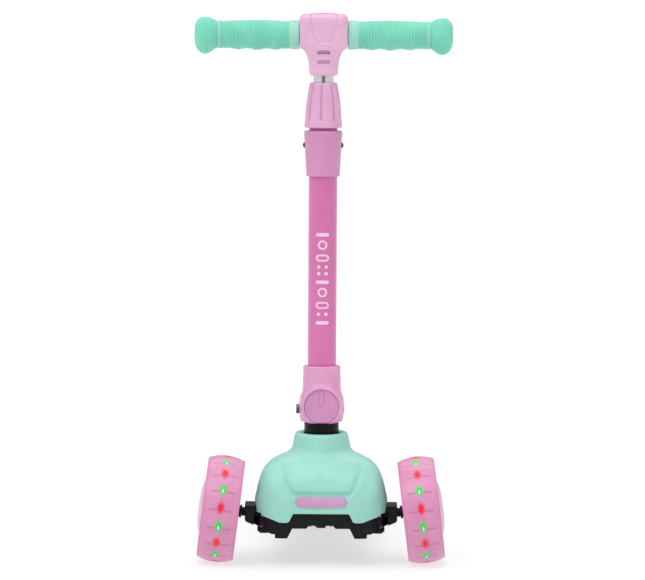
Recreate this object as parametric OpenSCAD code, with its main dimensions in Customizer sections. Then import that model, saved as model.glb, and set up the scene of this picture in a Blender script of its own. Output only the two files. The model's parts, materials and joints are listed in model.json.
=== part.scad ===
// Child's three-wheel kick scooter that steers by leaning, with a folding, height-adjustable
// stem and lit wheels. Millimetres, +Z up, the front of the scooter faces -Y, and the origin is
// on the floor under the middle of the scooter. Left and right are the rider's: left is +X.

/* [Front wheels] */
// Radius of the front wheels at the middle of the tread
wheel_r = 60; // [58:1:62]
// Width of the front wheels
wheel_w = 40; // [38:1:40]
// Distance between the centres of the front wheels
track = 223.4; // [222:0.2:228]
// Inward lean of the tops of the front wheels, in degrees
camber = 7; // [5:0.5:8]
// Lights round one front wheel
light_count = 18; // [12:2:18]
// How far the lights are turned from the axle's own frame, in degrees
light_turn = 3; // [0:1:20]

/* [Deck and rear wheel] */
// Distance from the front axle to the rear axle
wheelbase = 420; // [400:5:450]
// Radius of the rear wheel
rear_r = 40; // [40:1:41]
// Width of the rear wheel
rear_w = 34; // [32:1:34]
// Half of the deck's greatest width
deck_half = 60; // [54:1:64]
// Height of the deck's top skin
deck_top = 66; // [66:1:68]

/* [Steering] */
// Distance from the middle to each kingpin
kingpin_x = 64; // [63:0.5:65]
// Forward lean of the kingpins, in degrees, which turns a lean of the deck into steering
kingpin_tilt = 15; // [12:1:16]
// Length of the steering arm on each knuckle
arm_len = 20; // [19:0.5:20]

/* [Stem] */
// Backward lean of the stem, in degrees
stem_tilt = 2; // [1:0.5:3]
// Height of the folding pivot above the floor
pivot_z = 171.4; // [170:0.2:174]
// Radius of the stem tube
stem_r = 16; // [15.5:0.25:16]
// Radius of the inner tube, which slides in the stem
inner_r = 11.75; // [11.5:0.05:11.75]
// Height of the handlebar above the folding pivot
bar_h = 419; // [415:1:430]

/* [Handlebar] */
// Half of the handlebar's length, to the end of the grip
bar_half = 145.1; // [140:0.5:155]
// Radius of the steel crossbar
bar_r = 11.1; // [10.5:0.1:11.1]
// Radius of a grip along its middle
grip_r = 16; // [15:0.25:17]

/* [Hidden] */
$fn = 48;

// Colours
pink = "#dd8fc4";
deep_pink = "#d474ad";
pale_pink = "#e6b0d6";
mint = "#86d9c2";
black = "#1d1c1e";
steel = "#b9bcc0";
dark_steel = "#55565a";
brass = "#c9a24a";

// Clearances
run = 0.05;      // radial gap of a running fit
gap = 0.3;       // gap between pieces that move past each other

// Fasteners and bearings
m8_r = 4;
bearing_r = 11;  // 608 bearing: 22 outside, 8 inside, 7 wide
bearing_w = 7;

// Fender of the rear wheel, as radii round the rear axle and angles up from the rear
fender_in = rear_r + 5;
fender_out = fender_in + 4;
fender_start = 20;
fender_wide_end = 122;
fender_end = 150;

// Places along the length. The front and rear ends are equally far from the origin.
rear_reach = fender_out * cos(fender_start);
half_length = (wheelbase + wheel_r + rear_reach) / 2;
front_y = wheel_r - half_length;
rear_y = front_y + wheelbase;
bridge_front = front_y - 35;
bridge_rear = front_y + 36;
deck_front = bridge_rear;
deck_rear = rear_y - rear_r - 7;
post_y = front_y + 16;

// Front wheel: the tread is an arc of this radius, and its lowest point touches the floor
crown_r = 50;
wheel_z = (wheel_r - crown_r) * cos(camber) + crown_r;
kingpin_z = wheel_z - (track / 2 - kingpin_x) * tan(camber);
kingpin_u = (track / 2 - kingpin_x) / cos(camber);  // from the wheel's centre, along the axle
tyre_in = wheel_r - 14;
rim_r = tyre_in - 6;
hub_r = 15;
cap_r = 31;
cap_rise = 5.5;
inner_bearing_u = -17;
outer_bearing_u = 8;

// Bridge
bridge_half = 85.2;
bridge_top = deck_top;
socket_r = 22.5;
barrel_r = 8.5;
barrel_h = 15.6;
fork_in = rear_w / 2 + 3.5;
fork_t = 6.5;

// Steering post and fold
post_r = 19.3;
tongue_half = 12;
tongue_r = 12.5;
cheek_in = 13;
housing_r = 25.4;
housing_low = -13.5;
housing_high = 48.5;
post_top = housing_low - 0.5;
button_h = 4.3;
button_r = 18.3;

// Stem, as heights above the folding pivot
collar_low = 261.3;
collar_high = 312.1;
collar_screw_h = 296;
knob_low = 315.6;
knob_high = 365.8;
tube_top = 318;
t_low = 374.2 - bar_h;
t_high = 26.4;
guide_low = 130;

// ---------------------------------------------------------------- frames

// A front wheel's own frame, with +Z along the axle, outwards. side is 1 on the left.
module at_wheel(side) {
    translate([side * track / 2, front_y, wheel_z]) rotate([0, side * (90 - camber), 0]) children();
}

// A kingpin's own frame, with +Z up along the kingpin
module at_kingpin(side) {
    translate([side * kingpin_x, front_y, kingpin_z]) rotate([kingpin_tilt, 0, 0]) children();
}

// The rear wheel's frame, with +Z to the left along the axle
module at_rear() {
    translate([0, rear_y, rear_r]) rotate([0, 90, 0]) children();
}

// The stem's frame, with +Z up along the stem from the folding pivot
module at_stem() {
    translate([0, post_y, pivot_z]) rotate([-stem_tilt, 0, 0]) children();
}

// The handlebar's frame: the stem's, raised to the crossbar
module at_bar() {
    at_stem() translate([0, 0, bar_h]) children();
}

// ---------------------------------------------------------------- shared shapes

module tube(r_out, r_in, low, high) {
    difference() {
        translate([0, 0, low]) cylinder(r = r_out, h = high - low);
        translate([0, 0, low - 1]) cylinder(r = r_in, h = high - low + 2);
    }
}

module rod(r, low, high) {
    translate([0, 0, low]) cylinder(r = r, h = high - low);
}

// Hexagon nut or head, by its width across the flats
module hexagon(flats, low, high) {
    translate([0, 0, low]) cylinder(r = flats / 2 / cos(30), h = high - low, $fn = 6);
}

// Children, turned so that their +Z points along +X
module along_x() {
    rotate([0, 90, 0]) children();
}

// Children, turned so that their +Z points along -Y, to the front
module to_front() {
    rotate([90, 0, 0]) children();
}

// A coil of round wire: turns about +Z between two heights
module coil(radius, wire, turns, low, high, sides = 6, steps = 20) {
    count = round(turns * steps);
    ring = function(i) let (a = 360 * turns * i / count, z = low + (high - low) * i / count) [
        for (k = [0 : sides - 1])
            let (b = 360 * k / sides, r = radius + wire * cos(b))
            [r * cos(a), r * sin(a), z + wire * sin(b)]
    ];
    points = [for (i = [0 : count]) each ring(i)];
    walls = [
        for (i = [0 : count - 1], k = [0 : sides - 1])
            let (n = (k + 1) % sides, a = i * sides)
            [a + k, a + k + sides, a + n + sides, a + n]
    ];
    ends = [
        [for (k = [0 : sides - 1]) k],
        [for (k = [sides - 1 : -1 : 0]) count * sides + k]
    ];
    polyhedron(points = points, faces = concat(walls, ends));
}

// A smooth step from 0 to 1
function smooth(t) = let (c = min(1, max(0, t))) c * c * (3 - 2 * c);

// ---------------------------------------------------------------- deck

// Half the deck's width at a share t of its length
function deck_width(t) = deck_half - 4 * (1 - smooth(t / 0.12)) - 15 * smooth((t - 0.5) / 0.5);

module deck_outline(inset, front, rear) {
    steps = 24;
    share = function(y) (y - deck_front) / (deck_rear - deck_front);
    left = [
        for (i = [0 : steps])
            let (y = front + (rear - front) * i / steps)
            [deck_width(share(y)) - inset, y]
    ];
    right = [for (i = [steps : -1 : 0]) [-left[i][0], left[i][1]]];
    polygon(concat(left, right));
}

module deck_shell() {
    floor_z = 44;
    skin = 4;
    rib = 3;
    difference() {
        translate([0, 0, floor_z]) linear_extrude(deck_top - floor_z)
            deck_outline(0, deck_front, deck_rear);
        difference() {
            translate([0, 0, floor_z - 1]) linear_extrude(deck_top - floor_z + 1 - skin)
                deck_outline(skin, deck_front + skin, deck_rear - skin);
            for (x = [-30, 0, 30])
                translate([x - rib / 2, deck_front, floor_z + 1])
                    cube([rib, deck_rear - deck_front, 30]);
            for (i = [1 : 7])
                translate([-80, deck_front + (deck_rear - deck_front) * i / 8, floor_z + 1])
                    cube([160, rib, 30]);
        }
        brake_slot();
        translate([-50, deck_front - 1, 55.8]) cube([100, 26, 6.2]);
        bridge_bolt_places() rod(2.5, 60, 64.9);
    }
}

// Clears the brake's hinge barrel out of the back edge of the deck
module brake_slot() {
    translate([-fork_in, deck_rear - 14, deck_top - 14]) cube([2 * fork_in, 20, 20]);
}

module fork_arm(side) {
    translate([side > 0 ? fork_in : -fork_in - fork_t, 0, 0]) rotate([90, 0, 90])
        linear_extrude(fork_t) union() {
            polygon([
                [deck_rear - 0.5, 44], [deck_rear - 0.5, deck_top], [deck_rear + 14, deck_top],
                [rear_y - 4, rear_r + 13], [rear_y + 8, rear_r + 9], [rear_y + 8, rear_r - 9],
                [rear_y - 6, rear_r - 12]
            ]);
            translate([rear_y, rear_r]) circle(r = 13);
        }
}

brake_hinge_y = deck_rear - 4;
brake_hinge_z = deck_top - 6;

module brake_pin_line() {
    translate([0, brake_hinge_y, brake_hinge_z]) along_x() children();
}

module deck_board() {
    color(black) difference() {
        union() {
            deck_shell();
            fork_arm(1);
            fork_arm(-1);
        }
        at_rear() rod(m8_r, -60, 60);
        brake_pin_line() rod(2.5, -60, 60);
    }
}

module grip_pad() {
    color(mint) translate([0, 0, deck_top]) linear_extrude(3)
        deck_outline(7, deck_front + 16, deck_rear - 18);
}

// ---------------------------------------------------------------- front bridge

module bridge_plan(grow = 0) {
    half = [
        [44, -36], [57, -34], [65, -28.5], [70, -16.5], [bridge_half, -16.5],
        [bridge_half, 16.5], [71, 16.5], [71, 24], [62, 34], [56, 36]
    ];
    left = [for (p = half) [p[0] + grow, p[1] + sign(p[1]) * grow + front_y]];
    right = [for (i = [len(left) - 1 : -1 : 0]) [-left[i][0], left[i][1]]];
    polygon(concat(left, right));
}

// The bridge as seen from the front: rails under it, and arms that rise towards the wheels
module bridge_face() {
    half = [
        [0, 47], [13, 47], [16.5, 43.6], [32, 43.6], [37.5, 32.5], [51, 32.5], [51.5, 37],
        [54.5, 37], [70, 42], [84, 48], [bridge_half, 50], [bridge_half, bridge_top], [0, bridge_top]
    ];
    union() {
        polygon(half);
        polygon([for (p = half) [-p[0], p[1]]]);
    }
}

module bridge_bolt_places() {
    for (x = [-42, -15, 15, 42]) translate([x, deck_front + 14, 0]) children();
}

module front_bridge() {
    color(black) difference() {
        union() {
            difference() {
                intersection() {
                    translate([0, 0, 20]) linear_extrude(bridge_top - 20) bridge_plan();
                    translate([0, front_y + 60, 0]) to_front() linear_extrude(120) bridge_face();
                }
                steering_channel();
                for (side = [-1, 1]) {
                    clevis_gap(side);
                    arm_mouth(side);
                }
                rear_pockets();
            }
            for (side = [-1, 1])
                at_kingpin(side) rod(7, barrel_h / 2 + 0.2 + 3, 14);
            at_stem() rod(socket_r, 50 - pivot_z, 96 - pivot_z);
            translate([-50, bridge_rear - 1, 56]) cube([100, 25, 6]);
            at_tie_rod() for (x = [-38.5, 35])
                translate([x, -9, -8]) cube([3.5, 17.5, 10.5]);
        }
        at_stem() rod(post_r, 54 - pivot_z, 100 - pivot_z);
        for (side = [-1, 1]) at_kingpin(side) {
            rod(m8_r, -40, 40);
            rod(8.2, -40, -15.5);
        }
        bridge_bolt_places() rod(2.5, 40, bridge_top + 1);
        post_bolt_hole();
        cover_screw_places() {
            rod(1.5, 20, bridge_top + 1);
            rod(3.2, 20, 37);
        }
    }
}

// Room for the tie rod and the knuckles' arms, open to the ground
module steering_channel() {
    translate([0, front_y, kingpin_z]) rotate([kingpin_tilt, 0, 0])
        translate([-75, -arm_len - 8, -40]) cube([150, arm_len - 4.5, 40 + 9]);
}

// The gap between the two plates that hold a knuckle's barrel
module clevis_gap(side) {
    at_kingpin(side) translate([-13, -14, -barrel_h / 2 - 0.2]) cube([26, 27, barrel_h + 0.4]);
}

// The opening in the end of an arm, wide enough for the axle to swing
module arm_mouth(side) {
    at_wheel(side) translate([-7.3, -13.2, -kingpin_u]) cube([14.6, 26.4, kingpin_u]);
}

module rear_pockets() {
    for (x = [-28, 4], z = [20])
        translate([x, front_y + 14, z]) cube([24, 18, 34]);
}

module bridge_bolts() {
    color(steel) bridge_bolt_places() {
        rod(2.5, 52, 64.9);
        hexagon(8, 52, 56);
    }
}

// ---------------------------------------------------------------- front cover

// A plate with round corners, by its half sizes
module round_plate(half_x, front, rear, corner, low, high) {
    hull() round_posts(half_x, front, rear, corner, low, high);
}

module round_posts(half_x, front, rear, corner, low, high) {
    for (x = [corner - half_x, half_x - corner], y = [front_y - front + corner, front_y + rear - corner])
        translate([x, y, low]) cylinder(r = corner, h = high - low, $fn = 32);
}

module cover_body(skin) {
    hull() {
        round_posts(74 - skin, 42 - skin, 46 - skin, 24, 50 - 2 * skin, 76);
        round_posts(71 - skin, 40 - skin, 45 - skin, 24, 89, 90);
        round_posts(66 - skin, 37 - skin, 44 - skin, 24, 102 - skin, 103 - skin);
        round_posts(58 - skin, 30 - skin, 43 - skin, 22, 111 - skin, 112 - skin);
        round_posts(46 - skin, 22 - skin, 42 - skin, 20, 119 - skin, 120 - skin);
    }
    at_stem() translate([0, 0, 105 - pivot_z])
        cylinder(r1 = 34 - skin, r2 = 30 - skin, h = 145.4 - 105);
}

// Everything above the cover's lower edge, as seen from the front
module cover_edge() {
    half = [
        [0, 61], [33.5, 61], [37, 51], [48, 50.6], [56, 54], [65, 57.5], [74, 60], [90, 60],
        [90, 160], [0, 160]
    ];
    translate([0, front_y + 80, 0]) to_front() linear_extrude(160) union() {
        polygon(half);
        polygon([for (p = half) [-p[0], p[1]]]);
    }
}

module front_cover() {
    color(mint) difference() {
        intersection() {
            cover_body(0);
            cover_edge();
        }
        cover_body(2.5);
        translate([0, 0, 30]) linear_extrude(bridge_top + gap - 30) bridge_plan(0.4);
        translate([-80, deck_front - 1, 30]) cube([160, 60, deck_top + gap - 30]);
        at_stem() rod(post_r + 0.5, 100 - pivot_z, 30);
        translate([0, front_y - 38, 73.3]) to_front() rod(2, 0, 5);
    }
    color(mint) cover_screw_places() tube(4, 1.5, bridge_top, 113.5);
}

module cover_screw_places() {
    for (x = [-48, 48]) translate([x, front_y + 12, 0]) children();
}

module cover_screws() {
    color(steel) cover_screw_places() {
        rod(1.5, 37, 80);
        rod(3.2, 31, 37);
    }
}

badge_half = 28.5;
badge_low = 67.3;
badge_high = 79.4;

module cover_badge() {
    r = (badge_high - badge_low) / 2;
    color(pink) translate([0, front_y - 42, badge_low + r]) to_front() {
        linear_extrude(1.8) union() {
            square([2 * (badge_half - r), 2 * r], center = true);
            for (x = [r - badge_half, badge_half - r]) translate([x, 0]) circle(r = r);
        }
        rod(1.9, -4, 0.5);
    }
}

// ---------------------------------------------------------------- steering

module kingpins() {
    color(steel) for (side = [-1, 1]) at_kingpin(side) {
        rod(m8_r, -20, 15);
        rod(6.2, 14, 18);
        hexagon(13, -20.5, -15.5);
    }
}

module return_springs() {
    color(dark_steel) at_tie_rod() translate([0, 0, -2]) along_x() {
        coil(3.6, 0.6, 5, 5.6, 34.4);
        coil(3.6, 0.6, 5, -34.4, -5.6);
    }
}

module knuckle(side) {
    color(black) difference() {
        union() {
            at_kingpin(side) {
                rod(barrel_r, -barrel_h / 2, barrel_h / 2);
                translate([-5, -arm_len, -3]) cube([10, arm_len, 6]);
                translate([0, -arm_len, 0]) rod(5, -3, 3);
            }
            at_wheel(side) {
                rod(5, -kingpin_u, -22);
                rod(7.35, -22.9, -wheel_w / 2 - 0.6);
                rod(6, -wheel_w / 2 - 1, inner_bearing_u - 0.1);
            }
        }
        at_kingpin(side) rod(5.5, -20, 20);
        at_wheel(side) rod(m8_r, -40, 0);
        at_kingpin(side) translate([0, -arm_len, 0]) rod(2.5 + run, -10, 10);
    }
}

module front_axle(side) {
    color(steel) at_wheel(side) {
        rod(m8_r, -40, 19);
        hexagon(13, outer_bearing_u + bearing_w + 0.2, 21.2);
    }
}

module bushings(side) {
    color("white") at_kingpin(side) {
        tube(5.5, m8_r + run, -barrel_h / 2, -1);
        tube(5.5, m8_r + run, 1, barrel_h / 2);
    }
}

// The sleeve between the bearings, whose magnets make the current for the lights
module magnet_sleeve(side) {
    color(dark_steel) at_wheel(side)
        tube(6, m8_r, inner_bearing_u + bearing_w + 0.1, outer_bearing_u - 0.1);
}

module at_tie_rod() {
    translate([0, front_y, kingpin_z]) rotate([kingpin_tilt, 0, 0]) translate([0, -arm_len, 0])
        children();
}

module tie_rod() {
    color(black) at_tie_rod() difference() {
        union() {
            translate([-kingpin_x, -4, 3.2]) cube([2 * kingpin_x, 8, 4]);
            translate([-5, -4, -6]) cube([10, 8, 10]);
            for (x = [-kingpin_x, kingpin_x]) translate([x, 0, 0]) rod(5, 3.2, 7.2);
        }
        for (x = [-kingpin_x, kingpin_x]) translate([x, 0, 0]) rod(2.5, 0, 10);
    }
}

module tie_rod_bolts() {
    color(steel) at_tie_rod() for (x = [-kingpin_x, kingpin_x]) translate([x, 0, 0]) {
        rod(2.5, -5, 7.5);
        rod(4, 7.2, 8.6);
        hexagon(7, -7, -3.3);
    }
}

// ---------------------------------------------------------------- wheels

// Tyre section, as [radius, along the axle]: a crowned tread, and flanges that grip the rim
module tyre_section(r, half, crown, inner, seat, flange) {
    difference() {
        intersection() {
            translate([seat, -half]) square([r - seat, 2 * half]);
            translate([r - crown, 0]) circle(r = crown);
        }
        translate([seat - 1, -half + flange]) square([inner - seat + 1, 2 * (half - flange)]);
    }
}

module tyre(side) {
    color(pink, 0.8) at_wheel(side)
        rotate_extrude() tyre_section(wheel_r, wheel_w / 2, crown_r, tyre_in, rim_r, 5.5);
}

module bearing(low) {
    tube(bearing_r, m8_r + run, low, low + bearing_w);
}

// Hub with two bearing seats, a web with spokes, a rim, and the ribs that carry the tyre
module core_shape(hub_low, hub_high, seats, rim, rim_half, ribs, rib_top, spokes) {
    difference() {
        union() {
            rod(hub_r, hub_low, hub_high);
            rod(rim - 3, -2, 2);
            tube(rim, rim - 4, -rim_half, rim_half);
            for (i = [0 : spokes - 1]) rotate([0, 0, 360 * i / spokes])
                translate([hub_r - 2, -3, -rim_half + 5])
                    cube([rim - hub_r, 6, 2 * rim_half - 10]);
            for (i = [0 : ribs - 1]) rotate([0, 0, 360 * (i + 0.5) / ribs])
                translate([rim - 1, -0.9, -rim_half + 4]) cube([rib_top - rim + 1, 1.8, 2 * rim_half - 8]);
        }
        rod(9, hub_low - 1, hub_high + 1);
        for (low = seats) rod(bearing_r, low, low + bearing_w);
    }
}

module front_core(side) {
    color(pale_pink) at_wheel(side) {
        rotate([0, 0, side * light_turn])
            core_shape(inner_bearing_u, outer_bearing_u + bearing_w,
                [inner_bearing_u, outer_bearing_u], rim_r, wheel_w / 2 - 3, light_count,
                tyre_in - 0.1, 5);
        tube(rim_r - 3, cap_r, 11, 18);
    }
}

module lights(count, radius, r) {
    for (i = [0 : count - 1]) rotate([0, 0, 360 * i / count]) translate([radius, 0, 0]) sphere(r = r);
}

module front_lights(side) {
    color("lime") at_wheel(side) rotate([0, 0, side * light_turn])
        lights(light_count, (rim_r + tyre_in) / 2, 2.6);
}

module front_bearings(side) {
    color(steel) at_wheel(side) {
        bearing(inner_bearing_u);
        bearing(outer_bearing_u);
    }
}

// Domed cap that plugs into the outer side of the wheel
module hub_cap(side) {
    dome_r = (cap_r * cap_r + cap_rise * cap_rise) / (2 * cap_rise);
    top = wheel_w / 2 + cap_rise;
    color(pale_pink) at_wheel(side) difference() {
        intersection() {
            rod(cap_r, 13, top);
            translate([0, 0, top - dome_r]) sphere(r = dome_r);
        }
        intersection() {
            rod(cap_r - 3, 12, top);
            translate([0, 0, top - dome_r]) sphere(r = dome_r - 2);
        }
    }
}

rear_rim_r = 27;
rear_tyre_in = 31;
rear_bearing_u = rear_w / 2 - 1 - bearing_w;

module rear_tyre() {
    color(pink, 0.8) at_rear()
        rotate_extrude() tyre_section(rear_r, rear_w / 2, crown_r, rear_tyre_in, rear_rim_r, 5);
}

module rear_core() {
    hub = rear_w / 2 - 1;
    color(pale_pink) at_rear()
        core_shape(-hub, hub, [-hub, rear_bearing_u], rear_rim_r, rear_w / 2 - 3, 8, rear_tyre_in - 0.1, 5);
}

module rear_lights() {
    color("lime") at_rear() lights(8, (rear_rim_r + rear_tyre_in) / 2, 1.7);
}

module rear_bearings() {
    color(steel) at_rear() {
        bearing(-rear_w / 2 + 1);
        bearing(rear_bearing_u);
    }
}

module rear_axle() {
    out = fork_in + fork_t;
    color(steel) at_rear() {
        rod(m8_r, -out - 1, out + 7);
        rod(7, -out - 4, -out);
        hexagon(13, out, out + 5.5);
    }
}

module rear_spacers() {
    face = rear_w / 2 - 1;
    color(steel) at_rear() {
        for (low = [-fork_in, face + 0.1]) tube(6, m8_r, low, low + fork_in - face - 0.1);
        tube(6, m8_r, -rear_bearing_u + 0.1, rear_bearing_u - 0.1);
    }
}

// ---------------------------------------------------------------- rear brake

// An arc of plate round the rear axle: radii, half width, and angles up from the rear
module fender_arc(r_in, r_out, low, high, start, end) {
    translate([0, rear_y, rear_r]) rotate([90, 0, 90]) rotate([0, 0, start])
        rotate_extrude(angle = end - start)
            translate([r_in, low]) square([r_out - r_in, high - low]);
}

module rear_brake() {
    narrow = fork_in - 0.8;
    color(black) {
        difference() {
            union() {
                fender_arc(fender_in, fender_out, -27, 27, fender_start, fender_wide_end);
                fender_arc(fender_in + 0.5, fender_out - 0.5, 1 - narrow, narrow - 1,
                    fender_wide_end - 4, fender_end);
                for (x = [-27, 24.5])
                    fender_arc(fender_in - 8, fender_in + 1, x, x + 2.5, fender_start + 4, fender_wide_end - 8);
                brake_pin_line() rod(5, -narrow, narrow);
                translate([0.5 - narrow, brake_hinge_y, brake_hinge_z - 0.4])
                    cube([2 * narrow - 1, 10.5, 4.2]);
            }
            brake_pin_line() {
                rod(2.5 + run, -60, 60);
                rod(5.6, -7.5, 7.5);
            }
        }
    }
}

module brake_pin() {
    out = fork_in + fork_t;
    color(steel) brake_pin_line() rod(2.5, -out, out);
}

module brake_spring() {
    color(dark_steel) brake_pin_line() coil(3.9, 0.6, 4, -6, 6);
}

// ---------------------------------------------------------------- post and fold

// Black post: a tube in the bridge's socket, and a tongue that the stem folds on
module steering_post() {
    color(black) at_stem() difference() {
        union() {
            rod(post_r, 54 - pivot_z, post_top);
            translate([-tongue_half, -11, post_top - 14])
                cube([2 * tongue_half, 22, -post_top + 14]);
            along_x() rod(tongue_r, -tongue_half, tongue_half);
        }
        rod(post_r - 3, 50 - pivot_z, -32);
        fold_relief();
        along_x() rod(m8_r + run, -30, 30);
        latch_groove();
        post_bolt_line() rod(3, -30, 30);
    }
}

// Clears the back of the post for the housing as the stem folds
module fold_relief() {
    translate([-30, 11, -32]) cube([60, 30, 60]);
    for (x = [-30, tongue_half])
        translate([x, 0, 0]) intersection() {
            along_x() rod(24, 0, 30 - tongue_half);
            translate([-1, 0, -40]) cube([40, 40, 80]);
        }
}

// The groove in the tongue that the latch's plunger runs in
module latch_groove() {
    difference() {
        intersection() {
            translate([-4.6, 0, 0]) along_x() rod(tongue_r + 3, 0, 9.2);
            translate([-10, -20, -4]) cube([20, 36, 30]);
        }
        along_x() rod(7.8, -10, 10);
    }
}

module post_bolt_line() {
    translate([0, 0, 80 - pivot_z]) along_x() children();
}

module post_bolt_hole() {
    at_stem() post_bolt_line() rod(3, -40, 40);
}

module post_bolt() {
    color(steel) at_stem() post_bolt_line() {
        rod(3, -25, 26);
        hexagon(10, -28, -socket_r);
        hexagon(10, socket_r, 27);
    }
}

// Pink housing: a socket for the stem tube above a bulging clevis with a round boss in front
module fold_housing() {
    color(pink) at_stem() difference() {
        union() {
            intersection() {
                sphere(r = housing_r);
                rod(40, housing_low, 20);
            }
            translate([0, 0, 10]) cylinder(r1 = 22, r2 = 20.4, h = housing_high - 10);
            intersection() {
                translate([0, 0, button_h]) to_front() rod(20.4, 0, 26);
                rod(40, housing_low, 60);
            }
        }
        rod(stem_r, 14, 60);
        housing_slot();
        rear_trim();
        along_x() rod(m8_r, -40, 40);
        for (x = [-40, 24.4]) translate([x, -10, -10]) cube([15.6, 20, 20]);
        translate([0, 0, button_h]) to_front() {
            rod(button_r + gap, 20, 40);
            rod(m8_r + run, 0, 40);
        }
    }
}

// The slot that the post's tongue moves through, open at the back and underneath
module housing_slot() {
    translate([-cheek_in, -13.2, -30]) cube([2 * cheek_in, 60, 30]);
    translate([-cheek_in, 0, -1]) cube([2 * cheek_in, 60, 14.2]);
    along_x() rod(13.2, -cheek_in, cheek_in);
}

// Rounds off the back of the cheeks, so that they clear the post as the stem folds
module rear_trim() {
    difference() {
        translate([-40, 0, -40]) cube([80, 60, 40]);
        along_x() rod(13.5, -50, 50);
    }
}

module fold_pivot_bolt() {
    color(dark_steel) at_stem() along_x() {
        rod(m8_r, -26, 25);
        rod(5.2, -28.5, -24.4);
        hexagon(6.5, 24.4, 25.4);
    }
}

module pivot_washers() {
    color("white") at_stem() along_x() for (low = [-cheek_in, tongue_half + 0.1])
        tube(9, m8_r, low, low + cheek_in - tongue_half - 0.1);
}

module fold_button() {
    color(pink) at_stem() translate([0, 0, button_h]) to_front() {
        difference() {
            rod(button_r, 23.6, 27);
            translate([-40, -60, 20]) cube([80, 60 + housing_low - button_h, 20]);
        }
        rod(m8_r, 12.2, 24);
    }
}

module button_spring() {
    color(dark_steel) at_stem() translate([0, 0, button_h]) to_front()
        coil(6, 0.5, 1.5, 20.6, 23);
}

// ---------------------------------------------------------------- stem

module stem_tube() {
    color(deep_pink) at_stem() difference() {
        tube(stem_r, stem_r - 2, 14, tube_top);
        collar_screw_line() rod(2, -40, 40);
    }
}

module collar_screw_line() {
    translate([0, 0, collar_screw_h]) along_x() children();
}

module stem_collar() {
    color(pink) at_stem() difference() {
        translate([0, 0, collar_low]) cylinder(r1 = 18.5, r2 = 21.2, h = collar_high - collar_low);
        rod(stem_r, collar_low - 1, collar_high + 1);
        collar_screw_line() rod(2, -40, 40);
    }
}

module collar_screws() {
    color(dark_steel) at_stem() collar_screw_line() for (turn = [0, 180]) rotate([turn, 0, 0]) {
        rod(2, 13.4, 20.6);
        intersection() {
            translate([0, 0, 18.6]) sphere(r = 4.2);
            rod(3.4, 20.6, 23);
        }
    }
}

// Nylon sleeve: a plug in the stem tube and, above it, the jaws that the knob squeezes
module clamp_sleeve() {
    color("whitesmoke") at_stem() difference() {
        union() {
            rod(stem_r - 2, 278, tube_top + 1);
            rod(15.2, tube_top, 346);
            translate([0, 0, 346]) cylinder(r1 = 15.2, r2 = 13.2, h = 12);
        }
        rod(inner_r + run, 270, 370);
        for (turn = [0, 90]) rotate([0, 0, turn]) translate([-20, -0.8, 334]) cube([40, 1.6, 30]);
        collar_screw_line() rod(2.4, -40, 40);
    }
}

// Knob radius by height: a short straight band, then a curve in to the top
function knob_radius(t) = 21 - 0.9 * t - 4.9 * pow(t, 2.4);

module height_knob() {
    steps = 14;
    height = knob_high - knob_low;
    side = [for (i = [0 : steps]) [knob_radius(i / steps), height * i / steps]];
    color(pink) at_stem() translate([0, 0, knob_low]) difference() {
        rotate_extrude() polygon(concat([[0, 0]], side, [[0, height]]));
        rod(stem_r + 0.4, -1, 32);
        translate([0, 0, 32 - 0.01]) cylinder(r1 = stem_r + 0.4, r2 = 13.6, h = 14);
        rod(inner_r + 0.6, 40, height + 1);
    }
}

module inner_tube() {
    color("silver") at_stem() difference() {
        rod(inner_r, guide_low, bar_h - bar_r - 0.4);
        rod(inner_r - 1.5, guide_low - 1, bar_h);
        translate([-1.8, -inner_r - 1, guide_low - 1]) cube([3.6, 1.7, bar_h]);
    }
}

module tube_guide() {
    color("white") at_stem() difference() {
        union() {
            rod(stem_r - 2 - run, guide_low - 6, guide_low);
            rod(inner_r - 1.5, guide_low - 2, guide_low + 18);
        }
        rod(6, guide_low - 10, guide_low + 30);
    }
}

// ---------------------------------------------------------------- handlebar

// The T-piece's outline from the front, as [across, up from the crossbar]
t_half = [
    [12, t_high - 0.6], [15.5, t_high - 2.2], [20.5, t_high - 1.6],
    for (a = [75 : -15 : 0]) [20.4 + 6 * cos(a), t_high - 7.8 + 6 * sin(a)],
    [26.4, -14], [22.5, -16.5], [18.6, -24], [16.6, -33], [15.8, t_low]
];

module t_front_view() {
    polygon(concat([[0, t_high]], t_half, [for (i = [len(t_half) - 1 : -1 : 0]) [-t_half[i][0], t_half[i][1]]]));
}

// The T-piece from the side: a round head over the crossbar, and a narrower neck
module t_side_view() {
    half = [
        for (a = [80 : -10 : 0]) [11 + 9.4 * cos(a), t_high - 13 + 13 * sin(a)],
        [20.4, -12], [18.6, -20], [15.9, t_low]
    ];
    polygon(concat([[0, t_high]], half, [for (i = [len(half) - 1 : -1 : 0]) [-half[i][0], half[i][1]]]));
}

module t_piece_body() {
    difference() {
        intersection() {
            translate([0, 40, 0]) to_front() linear_extrude(80) t_front_view();
            translate([-40, 0, 0]) rotate([90, 0, 90]) linear_extrude(80) t_side_view();
        }
        along_x() rod(bar_r, -50, 50);
        rod(inner_r, t_low - 1, 0);
        t_screw_places() rod(1.6, -30, 12);
    }
}

module t_piece_front() {
    color(pink) at_bar() difference() {
        intersection() {
            t_piece_body();
            translate([-40, -60, -80]) cube([80, 60, 160]);
        }
        for (h = [-17, -26.5]) translate([-7, -30, h]) cube([14, 30 - 15.2, 3.2]);
    }
}

module t_piece_back() {
    color(pink) at_bar() intersection() {
        t_piece_body();
        translate([-40, 0, -80]) cube([80, 60, 160]);
    }
}

module t_screw_places() {
    for (x = [-19.5, 19.5], z = [16, -13.4]) translate([x, 0, z]) to_front() children();
}

module t_piece_screws() {
    color(dark_steel) at_bar() t_screw_places() {
        rod(1.6, -20.4, 11);
        rod(3, -22, -20.4);
    }
}

module crossbar() {
    color(steel) at_bar() along_x() tube(bar_r, bar_r - 1.5, 8 - bar_half, bar_half - 8);
}

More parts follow.
